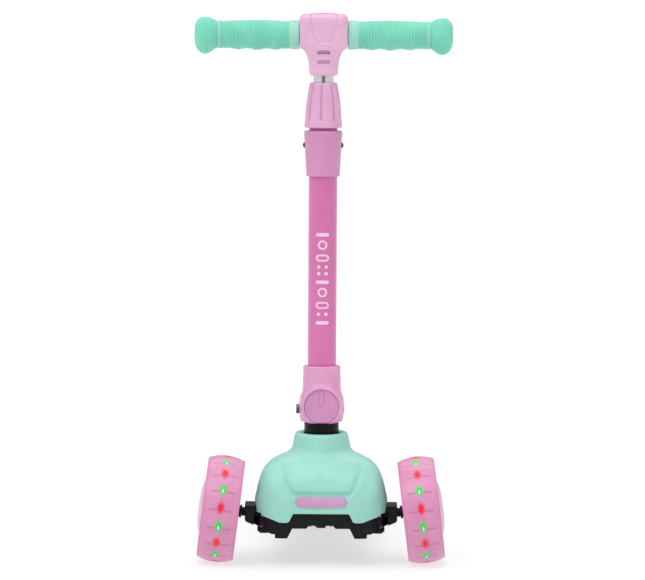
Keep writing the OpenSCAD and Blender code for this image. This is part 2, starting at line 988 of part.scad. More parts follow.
grip_in = 27.2;

// Grip radius by distance s from the inner end: a flange, a barrel and a bulb at the end
grip_len = bar_half - grip_in;
function grip_radius(s) =
    let (bulb = max(0, 1 - pow((s - (grip_len - 12.5)) / 15.5, 2)))
    s < 8 ? 16.4
    : max(grip_r - 1.1 + 1.1 * sin(180 * (s - 8) / (grip_len - 24)), 14.8 + 5.9 * sqrt(bulb));

module grip(side) {
    steps = 40;
    end = grip_len - 0.02;
    profile = [for (i = [0 : steps]) let (s = end * i / steps) [s == end ? 17 : grip_radius(s), s]];
    color(mint) at_bar() rotate([0, side * 90, 0]) translate([0, 0, grip_in]) difference() {
        rotate_extrude() polygon(concat([[0, 0]], profile, [[0, end]]));
        rod(bar_r, -1, grip_len - 8);
    }
}

// ---------------------------------------------------------------- nodes

deck_board();
grip_pad();
front_bridge();
bridge_bolts();
front_cover();
cover_badge();
cover_screws();
steering_post();
post_bolt();
kingpins();
return_springs();
rear_axle();
rear_spacers();
brake_pin();
brake_spring();
knuckle(1);  // left_knuckle
front_axle(1);  // left_axle
bushings(1);  // left_bushings
magnet_sleeve(1);  // left_magnet_sleeve
knuckle(-1);  // right_knuckle
front_axle(-1);  // right_axle
bushings(-1);  // right_bushings
magnet_sleeve(-1);  // right_magnet_sleeve
tie_rod();
tie_rod_bolts();
tyre(1);  // left_tyre
front_core(1);  // left_core
front_lights(1);  // left_lights
front_bearings(1);  // left_bearings
hub_cap(1);  // left_hub_cap
tyre(-1);  // right_tyre
front_core(-1);  // right_core
front_lights(-1);  // right_lights
front_bearings(-1);  // right_bearings
hub_cap(-1);  // right_hub_cap
rear_tyre();
rear_core();
rear_lights();
rear_bearings();
rear_brake();
fold_housing();
fold_pivot_bolt();
pivot_washers();
stem_tube();
stem_collar();
collar_screws();
clamp_sleeve();
button_spring();
fold_button();
height_knob();
inner_tube();
tube_guide();
t_piece_front();
t_piece_back();
t_piece_screws();
crossbar();
grip(1);  // left_grip
grip(-1);  // right_grip
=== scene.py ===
import json
import math

import bmesh
import bpy
import numpy as np
from mathutils import Matrix, Vector


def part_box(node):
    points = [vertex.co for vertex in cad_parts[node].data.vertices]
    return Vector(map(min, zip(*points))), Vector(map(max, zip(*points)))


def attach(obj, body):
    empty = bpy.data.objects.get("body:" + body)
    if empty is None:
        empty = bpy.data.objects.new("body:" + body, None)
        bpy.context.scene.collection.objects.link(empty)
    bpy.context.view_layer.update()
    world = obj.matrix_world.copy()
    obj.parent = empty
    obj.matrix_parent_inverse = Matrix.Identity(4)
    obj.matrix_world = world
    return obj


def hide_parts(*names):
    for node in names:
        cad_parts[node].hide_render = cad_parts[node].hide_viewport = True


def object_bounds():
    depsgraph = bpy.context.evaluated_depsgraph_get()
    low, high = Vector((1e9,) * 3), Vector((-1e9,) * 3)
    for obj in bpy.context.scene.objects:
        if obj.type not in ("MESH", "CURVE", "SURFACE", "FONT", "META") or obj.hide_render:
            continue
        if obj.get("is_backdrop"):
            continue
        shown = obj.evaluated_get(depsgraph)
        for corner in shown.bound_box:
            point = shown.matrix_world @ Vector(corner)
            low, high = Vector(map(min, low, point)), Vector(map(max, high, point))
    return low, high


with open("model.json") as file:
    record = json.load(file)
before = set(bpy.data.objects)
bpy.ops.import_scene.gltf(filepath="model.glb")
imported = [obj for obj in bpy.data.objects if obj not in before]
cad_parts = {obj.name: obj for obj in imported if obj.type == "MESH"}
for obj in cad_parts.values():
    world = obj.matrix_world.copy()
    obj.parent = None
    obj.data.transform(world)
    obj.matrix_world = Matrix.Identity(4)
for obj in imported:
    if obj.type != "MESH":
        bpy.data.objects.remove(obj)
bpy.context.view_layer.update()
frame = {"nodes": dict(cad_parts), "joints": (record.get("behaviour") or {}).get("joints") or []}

# The scooter's visual model. Shapes are worked out in millimetres and placed in metres.

MM = 0.001

# Along the stem, up from the folding joint
BAR_UP = 419
TUBE_R, TUBE_LOW, TUBE_HIGH = 16, 14, 318
COLLAR_LOW, COLLAR_HIGH = 261.3, 312.1
KNOB_FOOT, KNOB_TALL, KNOB_R = 315.6, 50.2, 21
SLIDER_R, SLIDER_LOW, SLIDER_HIGH = 11.75, 130, 407.5
BUTTON_UP, BUTTON_R = 4.3, 19.5

# Tyres: tread radius, half width, crown radius, bore, bore of the side flanges and their width
FRONT_TYRE = (60, 20.6, 50, 46, 40, 5.5)
REAR_TYRE = (40, 17, 50, 31, 27, 5)
LAMPS, REAR_LAMPS, LAMP_TURN = 18, 8, math.radians(3)

JOINTS = {j["name"]: j for j in frame["joints"]}
NODES = frame["nodes"]
SIDES = (("left", 1), ("right", -1))


def in_frame(origin, z_axis, x_axis=(1, 0, 0)):
    """Matrix from a local frame in millimetres to the row frame in metres."""
    z = Vector(z_axis).normalized()
    x = Vector(x_axis)
    x = (x - z * x.dot(z)).normalized()
    m = Matrix((x, z.cross(x), z)).transposed().to_4x4()
    m.translation = Vector(origin)
    return m @ Matrix.Scale(MM, 4)


def joint_at(name):
    """A joint's place in millimetres."""
    return [v / MM for v in JOINTS[name]["pos_m"]]


ROW = Matrix.Scale(MM, 4)
STEM = in_frame(JOINTS["stem_fold"]["pos_m"], JOINTS["handlebar_height"]["axis"])
BAR = STEM @ Matrix.Translation((0, 0, BAR_UP))
FRONT_Y = joint_at("left_wheel_spin")[1]
REAR = in_frame(JOINTS["rear_wheel_spin"]["pos_m"], (1, 0, 0), (0, 0, -1))


def wheel_frame(side):
    """A front wheel's frame: +Z runs outwards along the axle."""
    joint = JOINTS["left_wheel_spin" if side > 0 else "right_wheel_spin"]
    x, _, z = joint["axis"]
    out = Vector((side * abs(x), 0, abs(z)))
    return in_frame(joint["pos_m"], out, Vector((0, 1, 0)).cross(out))


# ---- numbers

def step01(t):
    """Soft step from 0 to 1."""
    t = np.clip(t, 0, 1)
    return t * t * (3 - 2 * t)


def between(v, low, high, rise, fall=None):
    """1 where v lies between low and high, 0 outside, with soft steps."""
    return step01((v - low) / rise) * step01((high - v) / (fall or rise))


def quarter_round(d, r):
    """Rise from 0 to 1 over the distance r, as a quarter circle."""
    return np.sqrt(1 - np.square(1 - np.clip(d / r, 0, 1)))


def bump(t):
    """A bell of height 1 at t = 0."""
    return np.exp(-np.square(t))


def curve_through(values, at):
    """Smooth curve through evenly spaced rows of numbers, read at fractions of a row."""
    v = np.asarray(values, float)
    slope = np.gradient(v, axis=0)
    at = np.clip(at, 0, len(v) - 1 - 1e-9)
    i = at.astype(int)
    t = (at - i)[:, None]
    a, b, ma, mb = v[i], v[i + 1], slope[i], slope[i + 1]
    return (a * (1 + 2 * t) * (1 - t) ** 2 + ma * t * (1 - t) ** 2
            + b * t * t * (3 - 2 * t) + mb * t * t * (t - 1))


def run_along(points):
    """Distance along a line to each of its points."""
    return np.concatenate([[0], np.cumsum(np.linalg.norm(np.diff(points, axis=0), axis=1))])


def even_rows(values, count):
    """Rows along a smooth curve, evenly spaced by distance in the first two columns."""
    fine = np.linspace(0, len(values) - 1, 40 * len(values))
    rows = curve_through(values, fine)
    run = run_along(rows[:, :2])
    return curve_through(values, np.interp(np.linspace(0, run[-1], count), run, fine))


def rounded(points, radii):
    """Open outline with its corners rounded, one radius for each point between the ends."""
    pts = [np.array(p, float) for p in points]
    out = [pts[0]]
    for before, p, after, r in zip(pts, pts[1:], pts[2:], radii):
        if not r:
            out.append(p)
            continue
        a, b = before - p, after - p
        la, lb = np.linalg.norm(a), np.linalg.norm(b)
        r = min(r, 0.49 * la, 0.49 * lb)
        start, end = p + a / la * r, p + b / lb * r
        for t in np.linspace(0, 1, 6):
            out.append(start * (1 - t) ** 2 + 2 * p * t * (1 - t) + end * t * t)
    out.append(pts[-1])
    return np.array(out)


def spread(outline, gap):
    """The outline with points no further apart than gap."""
    out = [outline[0]]
    for a, b in zip(outline, outline[1:]):
        n = max(1, int(math.ceil(np.linalg.norm(b - a) / gap)))
        out.extend(a + (b - a) * k / n for k in range(1, n + 1))
    return np.array(out)


# ---- meshes

def piece(name, verts, faces, place, sharp, weld=0.0, attributes=None):
    """A smooth-shaded mesh object, its points given in a frame's millimetres."""
    mesh = bpy.data.meshes.new(name)
    mesh.from_pydata(np.asarray(verts, float).tolist(), [], [list(map(int, f)) for f in faces])
    for key, data in (attributes or {}).items():
        mesh.attributes.new(key, "FLOAT", "POINT").data.foreach_set(
            "value", np.asarray(data, np.float32).ravel())
    bm = bmesh.new()
    bm.from_mesh(mesh)
    if weld:
        bmesh.ops.remove_doubles(bm, verts=bm.verts, dist=weld)
        bmesh.ops.dissolve_degenerate(bm, edges=bm.edges, dist=weld)
    bmesh.ops.recalc_face_normals(bm, faces=bm.faces)
    bm.to_mesh(mesh)
    bm.free()
    mesh.transform(place)
    mesh.shade_smooth()
    mesh.set_sharp_from_angle(angle=math.radians(sharp))
    obj = bpy.data.objects.new(name, mesh)
    bpy.context.scene.collection.objects.link(obj)
    return obj


def grid_faces(rows, cols, close_rows=False, close_cols=True, start=0):
    """Quads between the points of a grid."""
    faces = []
    for i in range(rows if close_rows else rows - 1):
        a, b = start + i * cols, start + ((i + 1) % rows) * cols
        for j in range(cols if close_cols else cols - 1):
            k = (j + 1) % cols
            faces.append((a + j, a + k, b + k, b + j))
    return faces


def grid_rim(rows, cols):
    """Indices round the border of an open grid."""
    last = (rows - 1) * cols
    return (list(range(cols)) + [i * cols + cols - 1 for i in range(1, rows)]
            + [last + j for j in range(cols - 2, -1, -1)] + [i * cols for i in range(rows - 2, 0, -1)])


def lathe(name, outline, place, around, closed=False, relief=None, sharp=40, attributes=None):
    """Outline rows of (radius, height) turned about +Z. relief moves (radius, height) by angle."""
    outline = np.asarray(outline, float)
    angle = np.linspace(0, 2 * math.pi, around, endpoint=False)[None, :]
    r, z, angle = np.broadcast_arrays(outline[:, :1], outline[:, 1:], angle)
    if relief:
        r, z = relief(r, z, angle)
    verts = np.stack([r * np.cos(angle), r * np.sin(angle), z], -1).reshape(-1, 3)
    data = {k: f(r, z, angle) for k, f in (attributes or {}).items()}
    return piece(name, verts, grid_faces(len(outline), around, closed), place, sharp, 1e-4, data)


def merged(parts):
    """One (verts, faces) pair from a list of them."""
    verts, faces = [], []
    for v, f in parts:
        base = len(verts)
        verts.extend(np.asarray(v, float).tolist())
        faces.extend([tuple(base + int(i) for i in face) for face in f])
    return verts, faces


def solid(name, field, low, high, step, place, relax=2):
    """The surface where field(x, y, z) is zero, as quads; the field is negative inside."""
    n = [int(math.ceil((b - a) / step)) + 1 for a, b in zip(low, high)]
    grids = np.meshgrid(*[a + step * np.arange(k) for a, k in zip(low, n)],
                        indexing="ij", sparse=True)
    f = np.broadcast_to(field(*grids), n).astype(np.float64)
    cells = tuple(k - 1 for k in n)
    total, count = np.zeros(cells + (3,)), np.zeros(cells)
    loops = []
    for a in range(3):
        b, c = (a + 1) % 3, (a + 2) % 3
        near = tuple(slice(0, -1) if k == a else slice(None) for k in range(3))
        far = tuple(slice(1, None) if k == a else slice(None) for k in range(3))
        cross = (f[near] < 0) != (f[far] < 0)
        at = np.argwhere(cross)
        v0, v1 = f[near][cross], f[far][cross]
        point = at.astype(float)
        point[:, a] += v0 / (v0 - v1)
        inner = (at[:, b] > 0) & (at[:, b] < cells[b]) & (at[:, c] > 0) & (at[:, c] < cells[c])
        ring = []
        for db, dc in ((0, 0), (1, 0), (1, 1), (0, 1)):
            cell = at.copy()
            cell[:, b] -= db
            cell[:, c] -= dc
            ok = np.all((cell >= 0) & (cell < cells), axis=1)
            np.add.at(total, tuple(cell[ok].T), point[ok])
            np.add.at(count, tuple(cell[ok].T), 1)
            ring.append(cell[inner])
        ring = np.stack(ring, 1)
        flip = v0[inner] > 0
        ring[flip] = ring[flip][:, ::-1]
        loops.append(ring)
    used = count > 0
    number = np.full(cells, -1)
    number[used] = np.arange(used.sum())
    verts = total[used] / count[used][:, None] * step + np.array(low)
    quads = np.concatenate([number[tuple(np.moveaxis(r, -1, 0))] for r in loops])
    edges = np.concatenate([quads[:, [k, (k + 1) % 4]] for k in range(4)])
    for _ in range(relax):
        near_sum, near_n = np.zeros_like(verts), np.zeros(len(verts))
        for i, j in ((0, 1), (1, 0)):
            np.add.at(near_sum, edges[:, i], verts[edges[:, j]])
            np.add.at(near_n, edges[:, i], 1)
        verts = 0.5 * verts + 0.5 * near_sum / near_n[:, None]
    return piece(name, verts, quads, place, 50)


# ---- solid fields

def join(a, b, k):
    """Both solids, with a fillet of about k between them."""
    h = np.clip(0.5 + 0.5 * (b - a) / k, 0, 1)
    return b * (1 - h) + a * h - k * h * (1 - h)


def common(a, b, k):
    """Where both solids are, with its edges rounded by about k."""
    return -join(-a, -b, k)


def cut(a, b, k):
    """Solid a without b."""
    return common(a, -b, k)


def length(*parts):
    return np.sqrt(sum(np.square(p) for p in parts))


def block(x, y, z, low, high, r=0.0):
    """Box with its edges rounded by r."""
    mid = [(a + b) / 2 for a, b in zip(low, high)]
    half = [(b - a) / 2 - r for a, b in zip(low, high)]
    q = [np.abs(p - m) - h for p, m, h in zip((x, y, z), mid, half)]
    outside = length(*[np.maximum(p, 0) for p in q])
    return outside + np.minimum(np.maximum(np.maximum(q[0], q[1]), q[2]), 0) - r


def drum(radial, along, r, low, high, edge=0.0):
    """Cylinder, from the distance to its axis and the distance along it."""
    a, b = radial - r + edge, np.abs(along - (low + high) / 2) - (high - low) / 2 + edge
    return length(np.maximum(a, 0), np.maximum(b, 0)) + np.minimum(np.maximum(a, b), 0) - edge


def outline2(px, py, points):
    """Signed distance to a closed outline."""
    pts = np.asarray(points, float)
    best, sign = np.inf, 1.0
    for a, b in zip(pts, np.roll(pts, -1, axis=0)):
        ex, ey = b - a
        wx, wy = px - a[0], py - a[1]
        t = np.clip((wx * ex + wy * ey) / (ex * ex + ey * ey), 0, 1)
        best = np.minimum(best, np.square(wx - ex * t) + np.square(wy - ey * t))
        c1, c2, c3 = py >= a[1], py < b[1], ex * wy > ey * wx
        same = (c1 & c2 & c3) | (~c1 & ~c2 & ~c3)
        sign = np.where(same, -sign, sign)
    return sign * np.sqrt(best)


def mirrored(half):
    """Closed outline from its right half."""
    return half + [(-x, y) for x, y in reversed(half) if x]


# ---- materials

def rgb(r, g, b):
    """Linear colour from 0 to 255 screen values."""
    return tuple((v / 255 / 12.92) if v <= 10.3 else ((v / 255 + 0.055) / 1.055) ** 2.4
                 for v in (r, g, b)) + (1.0,)


class Nodes:
    """Short names for building one material's nodes."""

    def __init__(self, name):
        self.mat = bpy.data.materials.new(name)
        self.mat.use_nodes = True
        self.tree = self.mat.node_tree
        self.shader = self.tree.nodes["Principled BSDF"]
        self.where = self.add("ShaderNodeTexCoord").outputs["Object"]

    def add(self, kind, **settings):
        node = self.tree.nodes.new(kind)
        for key, value in settings.items():
            setattr(node, key, value)
        return node

    def plug(self, source, socket):
        if isinstance(source, bpy.types.NodeSocket):
            self.tree.links.new(source, socket)
        else:
            socket.default_value = source

    def noise(self, scale, detail, rough=0.5, stretch=None):
        node = self.add("ShaderNodeTexNoise")
        where = self.where
        if stretch:
            mapping = self.add("ShaderNodeMapping")
            self.plug(where, mapping.inputs["Vector"])
            mapping.inputs["Scale"].default_value = stretch
            where = mapping.outputs["Vector"]
        self.plug(where, node.inputs["Vector"])
        node.inputs["Scale"].default_value = scale
        node.inputs["Detail"].default_value = detail
        node.inputs["Roughness"].default_value = rough
        return node.outputs["Fac"]

    def ramp(self, value, low, high, to_low=0.0, to_high=1.0):
        node = self.add("ShaderNodeMapRange", interpolation_type="SMOOTHSTEP")
        self.plug(value, node.inputs["Value"])
        for key, v in zip(("From Min", "From Max", "To Min", "To Max"), (low, high, to_low, to_high)):
            node.inputs[key].default_value = v
        return node.outputs["Result"]

    def math(self, kind, a, b):
        node = self.add("ShaderNodeMath", operation=kind)
        self.plug(a, node.inputs[0])
        self.plug(b, node.inputs[1])
        return node.outputs[0]

    def mix(self, factor, a, b):
        node = self.add("ShaderNodeMix", data_type="RGBA")
        self.plug(factor, node.inputs[0])
        self.plug(a, node.inputs[6])
        self.plug(b, node.inputs[7])
        return node.outputs[2]

    def tint(self, base, mask, amount, colour):
        """Move base towards colour by a share of mask."""
        return self.mix(self.math("MULTIPLY", mask, amount), base, colour)

    def attribute(self, name):
        return self.add("ShaderNodeAttribute", attribute_name=name).outputs["Fac"]

    def edges(self):
        """1 on outer edges, 0 elsewhere."""
        return self.ramp(self.add("ShaderNodeNewGeometry").outputs["Pointiness"], 0.52, 0.6)

    def relief(self, height, distance, strength, under=None):
        """Bump, laid over the bump under it."""
        node = self.add("ShaderNodeBump")
        node.inputs["Strength"].default_value = strength
        node.inputs["Distance"].default_value = distance
        self.plug(height, node.inputs["Height"])
        if under is not None:
            self.plug(under, node.inputs["Normal"])
        return node.outputs["Normal"]

    def finish(self, colour, rough, normal, **fixed):
        self.plug(colour, self.shader.inputs["Base Color"])
        self.plug(rough, self.shader.inputs["Roughness"])
        self.plug(normal, self.shader.inputs["Normal"])
        for key, value in fixed.items():
            self.shader.inputs[key.replace("_", " ")].default_value = value
        return self.mat


def shade(colour, k):
    """The colour made k times as bright."""
    return tuple(min(1.0, c * k) for c in colour[:3]) + (1.0,)


def moulded(name, colour, rough, vary=0.05, grain=0.25, grain_scale=2600, worn=0.12,
            flow=0.03, dust=0.0, extra=None, **fixed):
    """Moulded plastic or rubber: cloudy colour, fine grain, paler edges, faint scuffs."""
    n = Nodes(name)
    cloud = n.ramp(n.noise(38, 4, 0.6), 0.3, 0.7)
    base = n.mix(cloud, shade(colour, 1 - vary), shade(colour, 1 + vary))
    speck = n.ramp(n.noise(1400, 2), 0.35, 0.65)
    base = n.tint(base, speck, flow * 2, shade(colour, 0.82))
    base = n.tint(base, n.edges(), worn, shade(colour, 1.35))
    if dust:
        base = n.tint(base, n.ramp(n.noise(90, 5, 0.7), 0.5, 0.75), dust, rgb(190, 186, 180))
    scuff = n.ramp(n.noise(260, 6, 0.75, (1, 1, 0.12)), 0.56, 0.7)
    matte = n.math("ADD", n.ramp(n.noise(120, 4), 0.3, 0.7, rough - 0.05, rough + 0.06),
                   n.math("MULTIPLY", scuff, 0.1))
    if extra:
        base = extra(n, base)
    wave = n.relief(n.noise(70, 2), 0.0006, 0.25)
    normal = n.relief(n.noise(grain_scale, 3, 0.6), 0.00012, grain, wave)
    return n.finish(base, matte, normal, **fixed)


def metal(name, colour, rough, brushed, patina, stretch=(1, 1, 1), dark=0.6, extra=None,
          metallic=1.0):
    """Plated steel: faint spots, brighter edges, fine lines."""
    n = Nodes(name)
    spots = n.ramp(n.noise(300, 5, 0.65), 0.45, 0.72)
    base = n.tint(colour, spots, patina, shade(colour, dark))
    base = n.tint(base, n.edges(), 0.3, shade(colour, 1.4))
    if extra:
        base = extra(n, base)
    lines = n.noise(1500, 3, 0.6, stretch)
    matte = n.math("ADD", n.ramp(lines, 0.3, 0.7, rough * 0.8, rough * 1.25),
                   n.math("MULTIPLY", spots, 0.12))
    return n.finish(base, matte, n.relief(lines, 0.00008, brushed), Metallic=metallic)


mint_plastic = moulded("mint_plastic", rgb(153, 215, 200), 0.4, grain=0.3)
pink_plastic = moulded("pink_plastic", rgb(224, 158, 200), 0.36)
pale_pink = moulded("pale_pink_plastic", rgb(236, 196, 220), 0.34)
light_pink = moulded("light_pink_plastic", rgb(228, 178, 210), 0.34, grain=0.22)
collar_pink = moulded("collar_pink_plastic", rgb(207, 141, 186), 0.36, grain=0.22)
badge_pink = moulded("badge_plastic", rgb(201, 154, 193), 0.4, vary=0.07, grain=0.4)
cap_pink = moulded("cap_plastic", rgb(226, 188, 210), 0.34)
# The knob's material darkens the middle of each flute: painted shade in the grooves
knob_pink = moulded("knob_plastic", rgb(221, 168, 204), 0.34, grain=0.22,
                    extra=lambda n, c: n.mix(n.attribute("flute"), c, rgb(170, 104, 152)))
black_nylon = moulded("black_nylon", rgb(9, 8, 10), 0.5, vary=0.12, grain=0.5,
                      grain_scale=1800, flow=0.08, dust=0.012, Specular_IOR_Level=0.24)
post_black = moulded("post_black", rgb(5, 5, 6), 0.42, vary=0.1, grain=0.3, worn=0.1,
                     Specular_IOR_Level=0.2)
white_nylon = moulded("white_nylon", rgb(225, 225, 218), 0.4)
decal_pale = moulded("decal_pale", rgb(240, 204, 228), 0.5, vary=0.04, grain=0.4, worn=0.0)
mint_rubber = moulded("mint_rubber", rgb(124, 216, 190), 0.6, vary=0.07, grain=0.55,
                      grain_scale=2000, worn=0.25, flow=0.06, dust=0.02, Sheen_Weight=0.12,
                      Sheen_Roughness=0.5,
                      extra=lambda n, c: n.mix(n.attribute("pale"), c, rgb(166, 218, 204)))
# The chrome is darkened in the key groove: painted shade and dark reflection
chrome = metal("chrome", rgb(224, 227, 231), 0.27, 0.03, 0.04, (1, 1, 0.05), 0.85,
               lambda n, c: n.mix(n.attribute("groove"), c, rgb(84, 80, 88)), 0.7)
zinc_steel = metal("zinc_steel", rgb(178, 180, 182), 0.32, 0.3, 0.35)
black_zinc = metal("black_zinc", rgb(42, 42, 45), 0.4, 0.3, 0.3)
dark_steel = metal("dark_steel", rgb(92, 90, 94), 0.36, 0.3, 0.4)


def paint_material():
    """Gloss paint on the steel tube: fine orange peel, tiny flecks, a clear coat."""
    n = Nodes("pink_paint")
    hot = rgb(211, 110, 169)
    base = n.mix(n.ramp(n.noise(22, 3), 0.3, 0.7), shade(hot, 0.96), shade(hot, 1.04))
    base = n.tint(base, n.ramp(n.noise(3200, 1), 0.62, 0.72), 0.18, shade(hot, 1.5))
    rub = n.ramp(n.noise(180, 6, 0.7, (1, 1, 0.08)), 0.55, 0.72)
    base = n.tint(base, rub, 0.06, shade(hot, 0.8))
    matte = n.math("ADD", n.ramp(n.noise(90, 4), 0.3, 0.7, 0.3, 0.38), n.math("MULTIPLY", rub, 0.1))
    peel = n.relief(n.noise(420, 2), 0.0002, 0.15)
    return n.finish(base, matte, n.relief(n.noise(2800, 2), 0.00005, 0.2, peel),
                    Coat_Weight=0.35, Coat_Roughness=0.15)


def tyre_material():
    """Clear-tinted urethane with a painted glow: where a lamp is behind it the surface takes the lamp's
    colour and shines, and its ribs and shoulders carry painted shade.
    """
    n = Nodes("pink_urethane")
    body = rgb(216, 144, 184)
    cloud = n.ramp(n.noise(45, 4, 0.6), 0.3, 0.7)
    base = n.mix(cloud, shade(body, 0.93), shade(body, 1.05))
    base = n.tint(base, n.ramp(n.noise(160, 5, 0.7), 0.5, 0.75), 0.14, rgb(240, 196, 224))
    # Painted shadow: a darker line along each rib
    base = n.tint(base, n.attribute("rib"), 0.5, rgb(176, 78, 140))
    # Painted shade: darker, more magenta shoulders and sides
    base = n.tint(base, n.attribute("flank_shade"), 0.35, rgb(204, 112, 172))
    # Painted glow: where a lamp sits behind the tread, the surface takes the lamp's red or green and
    # shines with it
    red, green, core = (n.attribute(k) for k in ("red", "green", "core"))
    core = n.ramp(core, 0.3, 0.95)
    ragged = n.ramp(n.noise(700, 3, 0.7), 0.2, 0.8, 0.8, 1.15)
    red, green = (n.math("MULTIPLY", v, ragged) for v in (red, green))
    glow = (0, 0, 0, 1)
    for lit, tint, light in ((red, rgb(222, 24, 48), rgb(200, 8, 24)),
                             (green, rgb(24, 196, 84), rgb(6, 150, 40))):
        base = n.mix(n.ramp(lit, 0.04, 0.8), base, tint)
        glow = n.mix(n.ramp(lit, 0.1, 0.9), glow, light)
    # Painted highlight: a near-white, shining middle on each green spot
    base = n.mix(core, base, rgb(214, 255, 218))
    glow = n.mix(core, glow, rgb(190, 255, 200))
    n.plug(glow, n.shader.inputs["Emission Color"])
    peel = n.relief(n.noise(240, 3), 0.0003, 0.2)
    matte = n.ramp(n.noise(150, 5, 0.7), 0.3, 0.7, 0.3, 0.42)
    n.shader.inputs["Subsurface Radius"].default_value = (1.0, 0.45, 0.7)
    return n.finish(base, matte, n.relief(n.noise(2200, 2), 0.00008, 0.25, peel),
                    Emission_Strength=0.3, Subsurface_Weight=0.25, Subsurface_Scale=0.004,
                    IOR=1.5)


def lamp_material(name, colour):
    """Lit lens, a little uneven."""
    n = Nodes(name)
    core = n.ramp(n.noise(500, 2), 0.3, 0.7)
    base = n.mix(core, shade(colour, 0.8), shade(colour, 1.2))
    n.plug(base, n.shader.inputs["Emission Color"])
    return n.finish(base, n.ramp(n.noise(900, 2), 0.3, 0.7, 0.15, 0.25),
                    n.relief(n.noise(1500, 2), 0.0001, 0.2), Emission_Strength=1.5)


pink_paint = paint_material()
urethane = tyre_material()
red_lamp = lamp_material("red_lamp", rgb(240, 40, 50))
green_lamp = lamp_material("green_lamp", rgb(60, 235, 110))


def dress(obj, material, body, slot, *stands_for):
    """Give a piece its material, the body it rides on and the CAD nodes it stands for; the slot is not
    used.
    """
    obj.data.materials.clear()
    obj.data.materials.append(material)
    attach(obj, body)
    if stands_for:
        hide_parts(*stands_for)
    return obj


# ---- wheels

def tyre_outline(r, half, crown, inner, seat, flange):
    """Closed section as (radius, along the axle): crowned tread, soft shoulders, open inside."""
    edge = r - crown + math.sqrt(crown ** 2 - half ** 2)
    tread = [(r - crown + math.sqrt(crown ** 2 - u * u), u) for u in np.linspace(-half, half, 29)][1:-1]
    low = rounded([(edge - 4, -half), (edge, -half), tread[0]], [2.6]).tolist()
    high = rounded([tread[-1], (edge, half), (edge - 4, half)], [2.6]).tolist()
    points = [(inner, half - flange), (inner, flange - half), (seat, flange - half), (seat, -half)]
    points += low[:-1] + tread + high[1:] + [(seat, half), (seat, half - flange)]
    return spread(np.array(points + points[:1]), 2.5)[:-1]


def tyre(name, place, spec, lamps, turn, red_is_odd, lift=0.0):
    """Tyre with a rib beside each lamp, and data for the light and shade painted on it: a glow where each
    lamp sits behind the tread, a white-hot middle on the green ones, a shadow along each rib and darker
    shoulders.

    lift is how far, in radians, each glow sits round from its lamp."""
    r0, half, seat = spec[0], spec[1], spec[4]
    cell = 2 * math.pi / lamps
    way = -1 if "right" in name else 1
    wide = half / 20

    def offsets(angle):
        """Distance round the tread from the nearest lamp, in mm, and that lamp's number."""
        t = (angle - turn + way * lift) / cell
        number = np.round(t)
        return (t - number) * cell * r0, number.astype(int) % lamps

    # Mask of each rib: it sinks the tread a little and also carries the painted shadow along the rib
    def rib(r, z, angle):
        d, _ = offsets(angle)
        on_tread = (r > r0 - 6) & (np.abs(z) < half - 3)
        return bump(d * way - 3.0) * between(np.abs(z), 3.2, 0.72 * half, 1.2, 2) * on_tread

    def spot(r, z, angle, odd):
        d, number = offsets(angle)
        near = bump(d / (0.32 * cell * r0)) * bump(z / wide / 3.9) * (r > r0 - 5)
        return near * ((number % 2 == 1) == odd)

    def core(r, z, angle):
        """Painted white-hot highlight in the middle of each green spot."""
        d, number = offsets(angle)
        near = bump((d * way - 1.8) / 3.2) * bump(z / 1.3) * (r > r0 - 5)
        return near * ((number % 2 == 1) != red_is_odd)

    data = {
        "rib": rib,
        "red": lambda r, z, a: spot(r, z, a, red_is_odd),
        "green": lambda r, z, a: spot(r, z, a, not red_is_odd),
        "core": core,
        # Painted shade on the shoulders and sides of the tyre
        "flank_shade": lambda r, z, a: step01((np.abs(z) - half + 4.2) / 3.6) * (r > seat - 1),
    }
    return lathe(name, tyre_outline(*spec), place, lamps * 24, True,
                 lambda r, z, a: (r - 0.45 * rib(r, z, a), z), 60, data)


def lamp_bodies(name, place, radius, size, lamps, turn, odd):
    """Small domed lamps that point outwards, one for each second place round the wheel."""
    ring = [(0, 1.0), (0.5, 0.94), (0.85, 0.62), (1.0, 0.2), (1.0, -0.7), (1.25, -0.75),
            (1.25, -1.0), (0, -1.0)]
    around = 14
    parts = []
    for i in range(int(odd), lamps, 2):
        a = turn + 2 * math.pi * i / lamps
        out = np.array([math.cos(a), math.sin(a), 0])
        across = np.array([-math.sin(a), math.cos(a), 0])
        verts = [out * (radius + size * h)
                 + size * w * (across * math.cos(b) + np.array([0, 0, math.sin(b)]))
                 for w, h in ring for b in np.linspace(0, 2 * math.pi, around, endpoint=False)]
        parts.append((verts, grid_faces(len(ring), around)))
    return piece(name, *merged(parts), place, 50, 1e-4)


def hub_cap(name, place):
    """Domed cap with a flat rim, five shallow petals and a round middle."""
    rows = rounded([(0, 25.6), (8, 25.5), (16, 25.1), (23, 24.2), (28, 22.8), (30.9, 20.6),
                    (30.9, 14)], [3, 4, 4, 3, 1.2])
    outer = spread(rows, 0.7)
    inner = [(29.4, 14), (29.4, 19.6), (22, 22.6), (14, 23.6), (0, 24.0)]

    def relief(r, z, angle):
        petal = step01((np.cos(5 * angle) + 0.25) / 0.5)
        ring = between(r, 9.5, 25.5, 1.5)
        top = z > 19.9
        rim = 0.5 * bump((r - 27.2) / 0.5) + 0.4 * bump((r - 7.6) / 0.45)
        return r, z - (0.75 * petal * ring + rim) * top

    return lathe(name, np.array(outer.tolist() + inner), place, 160, False, relief, 50)


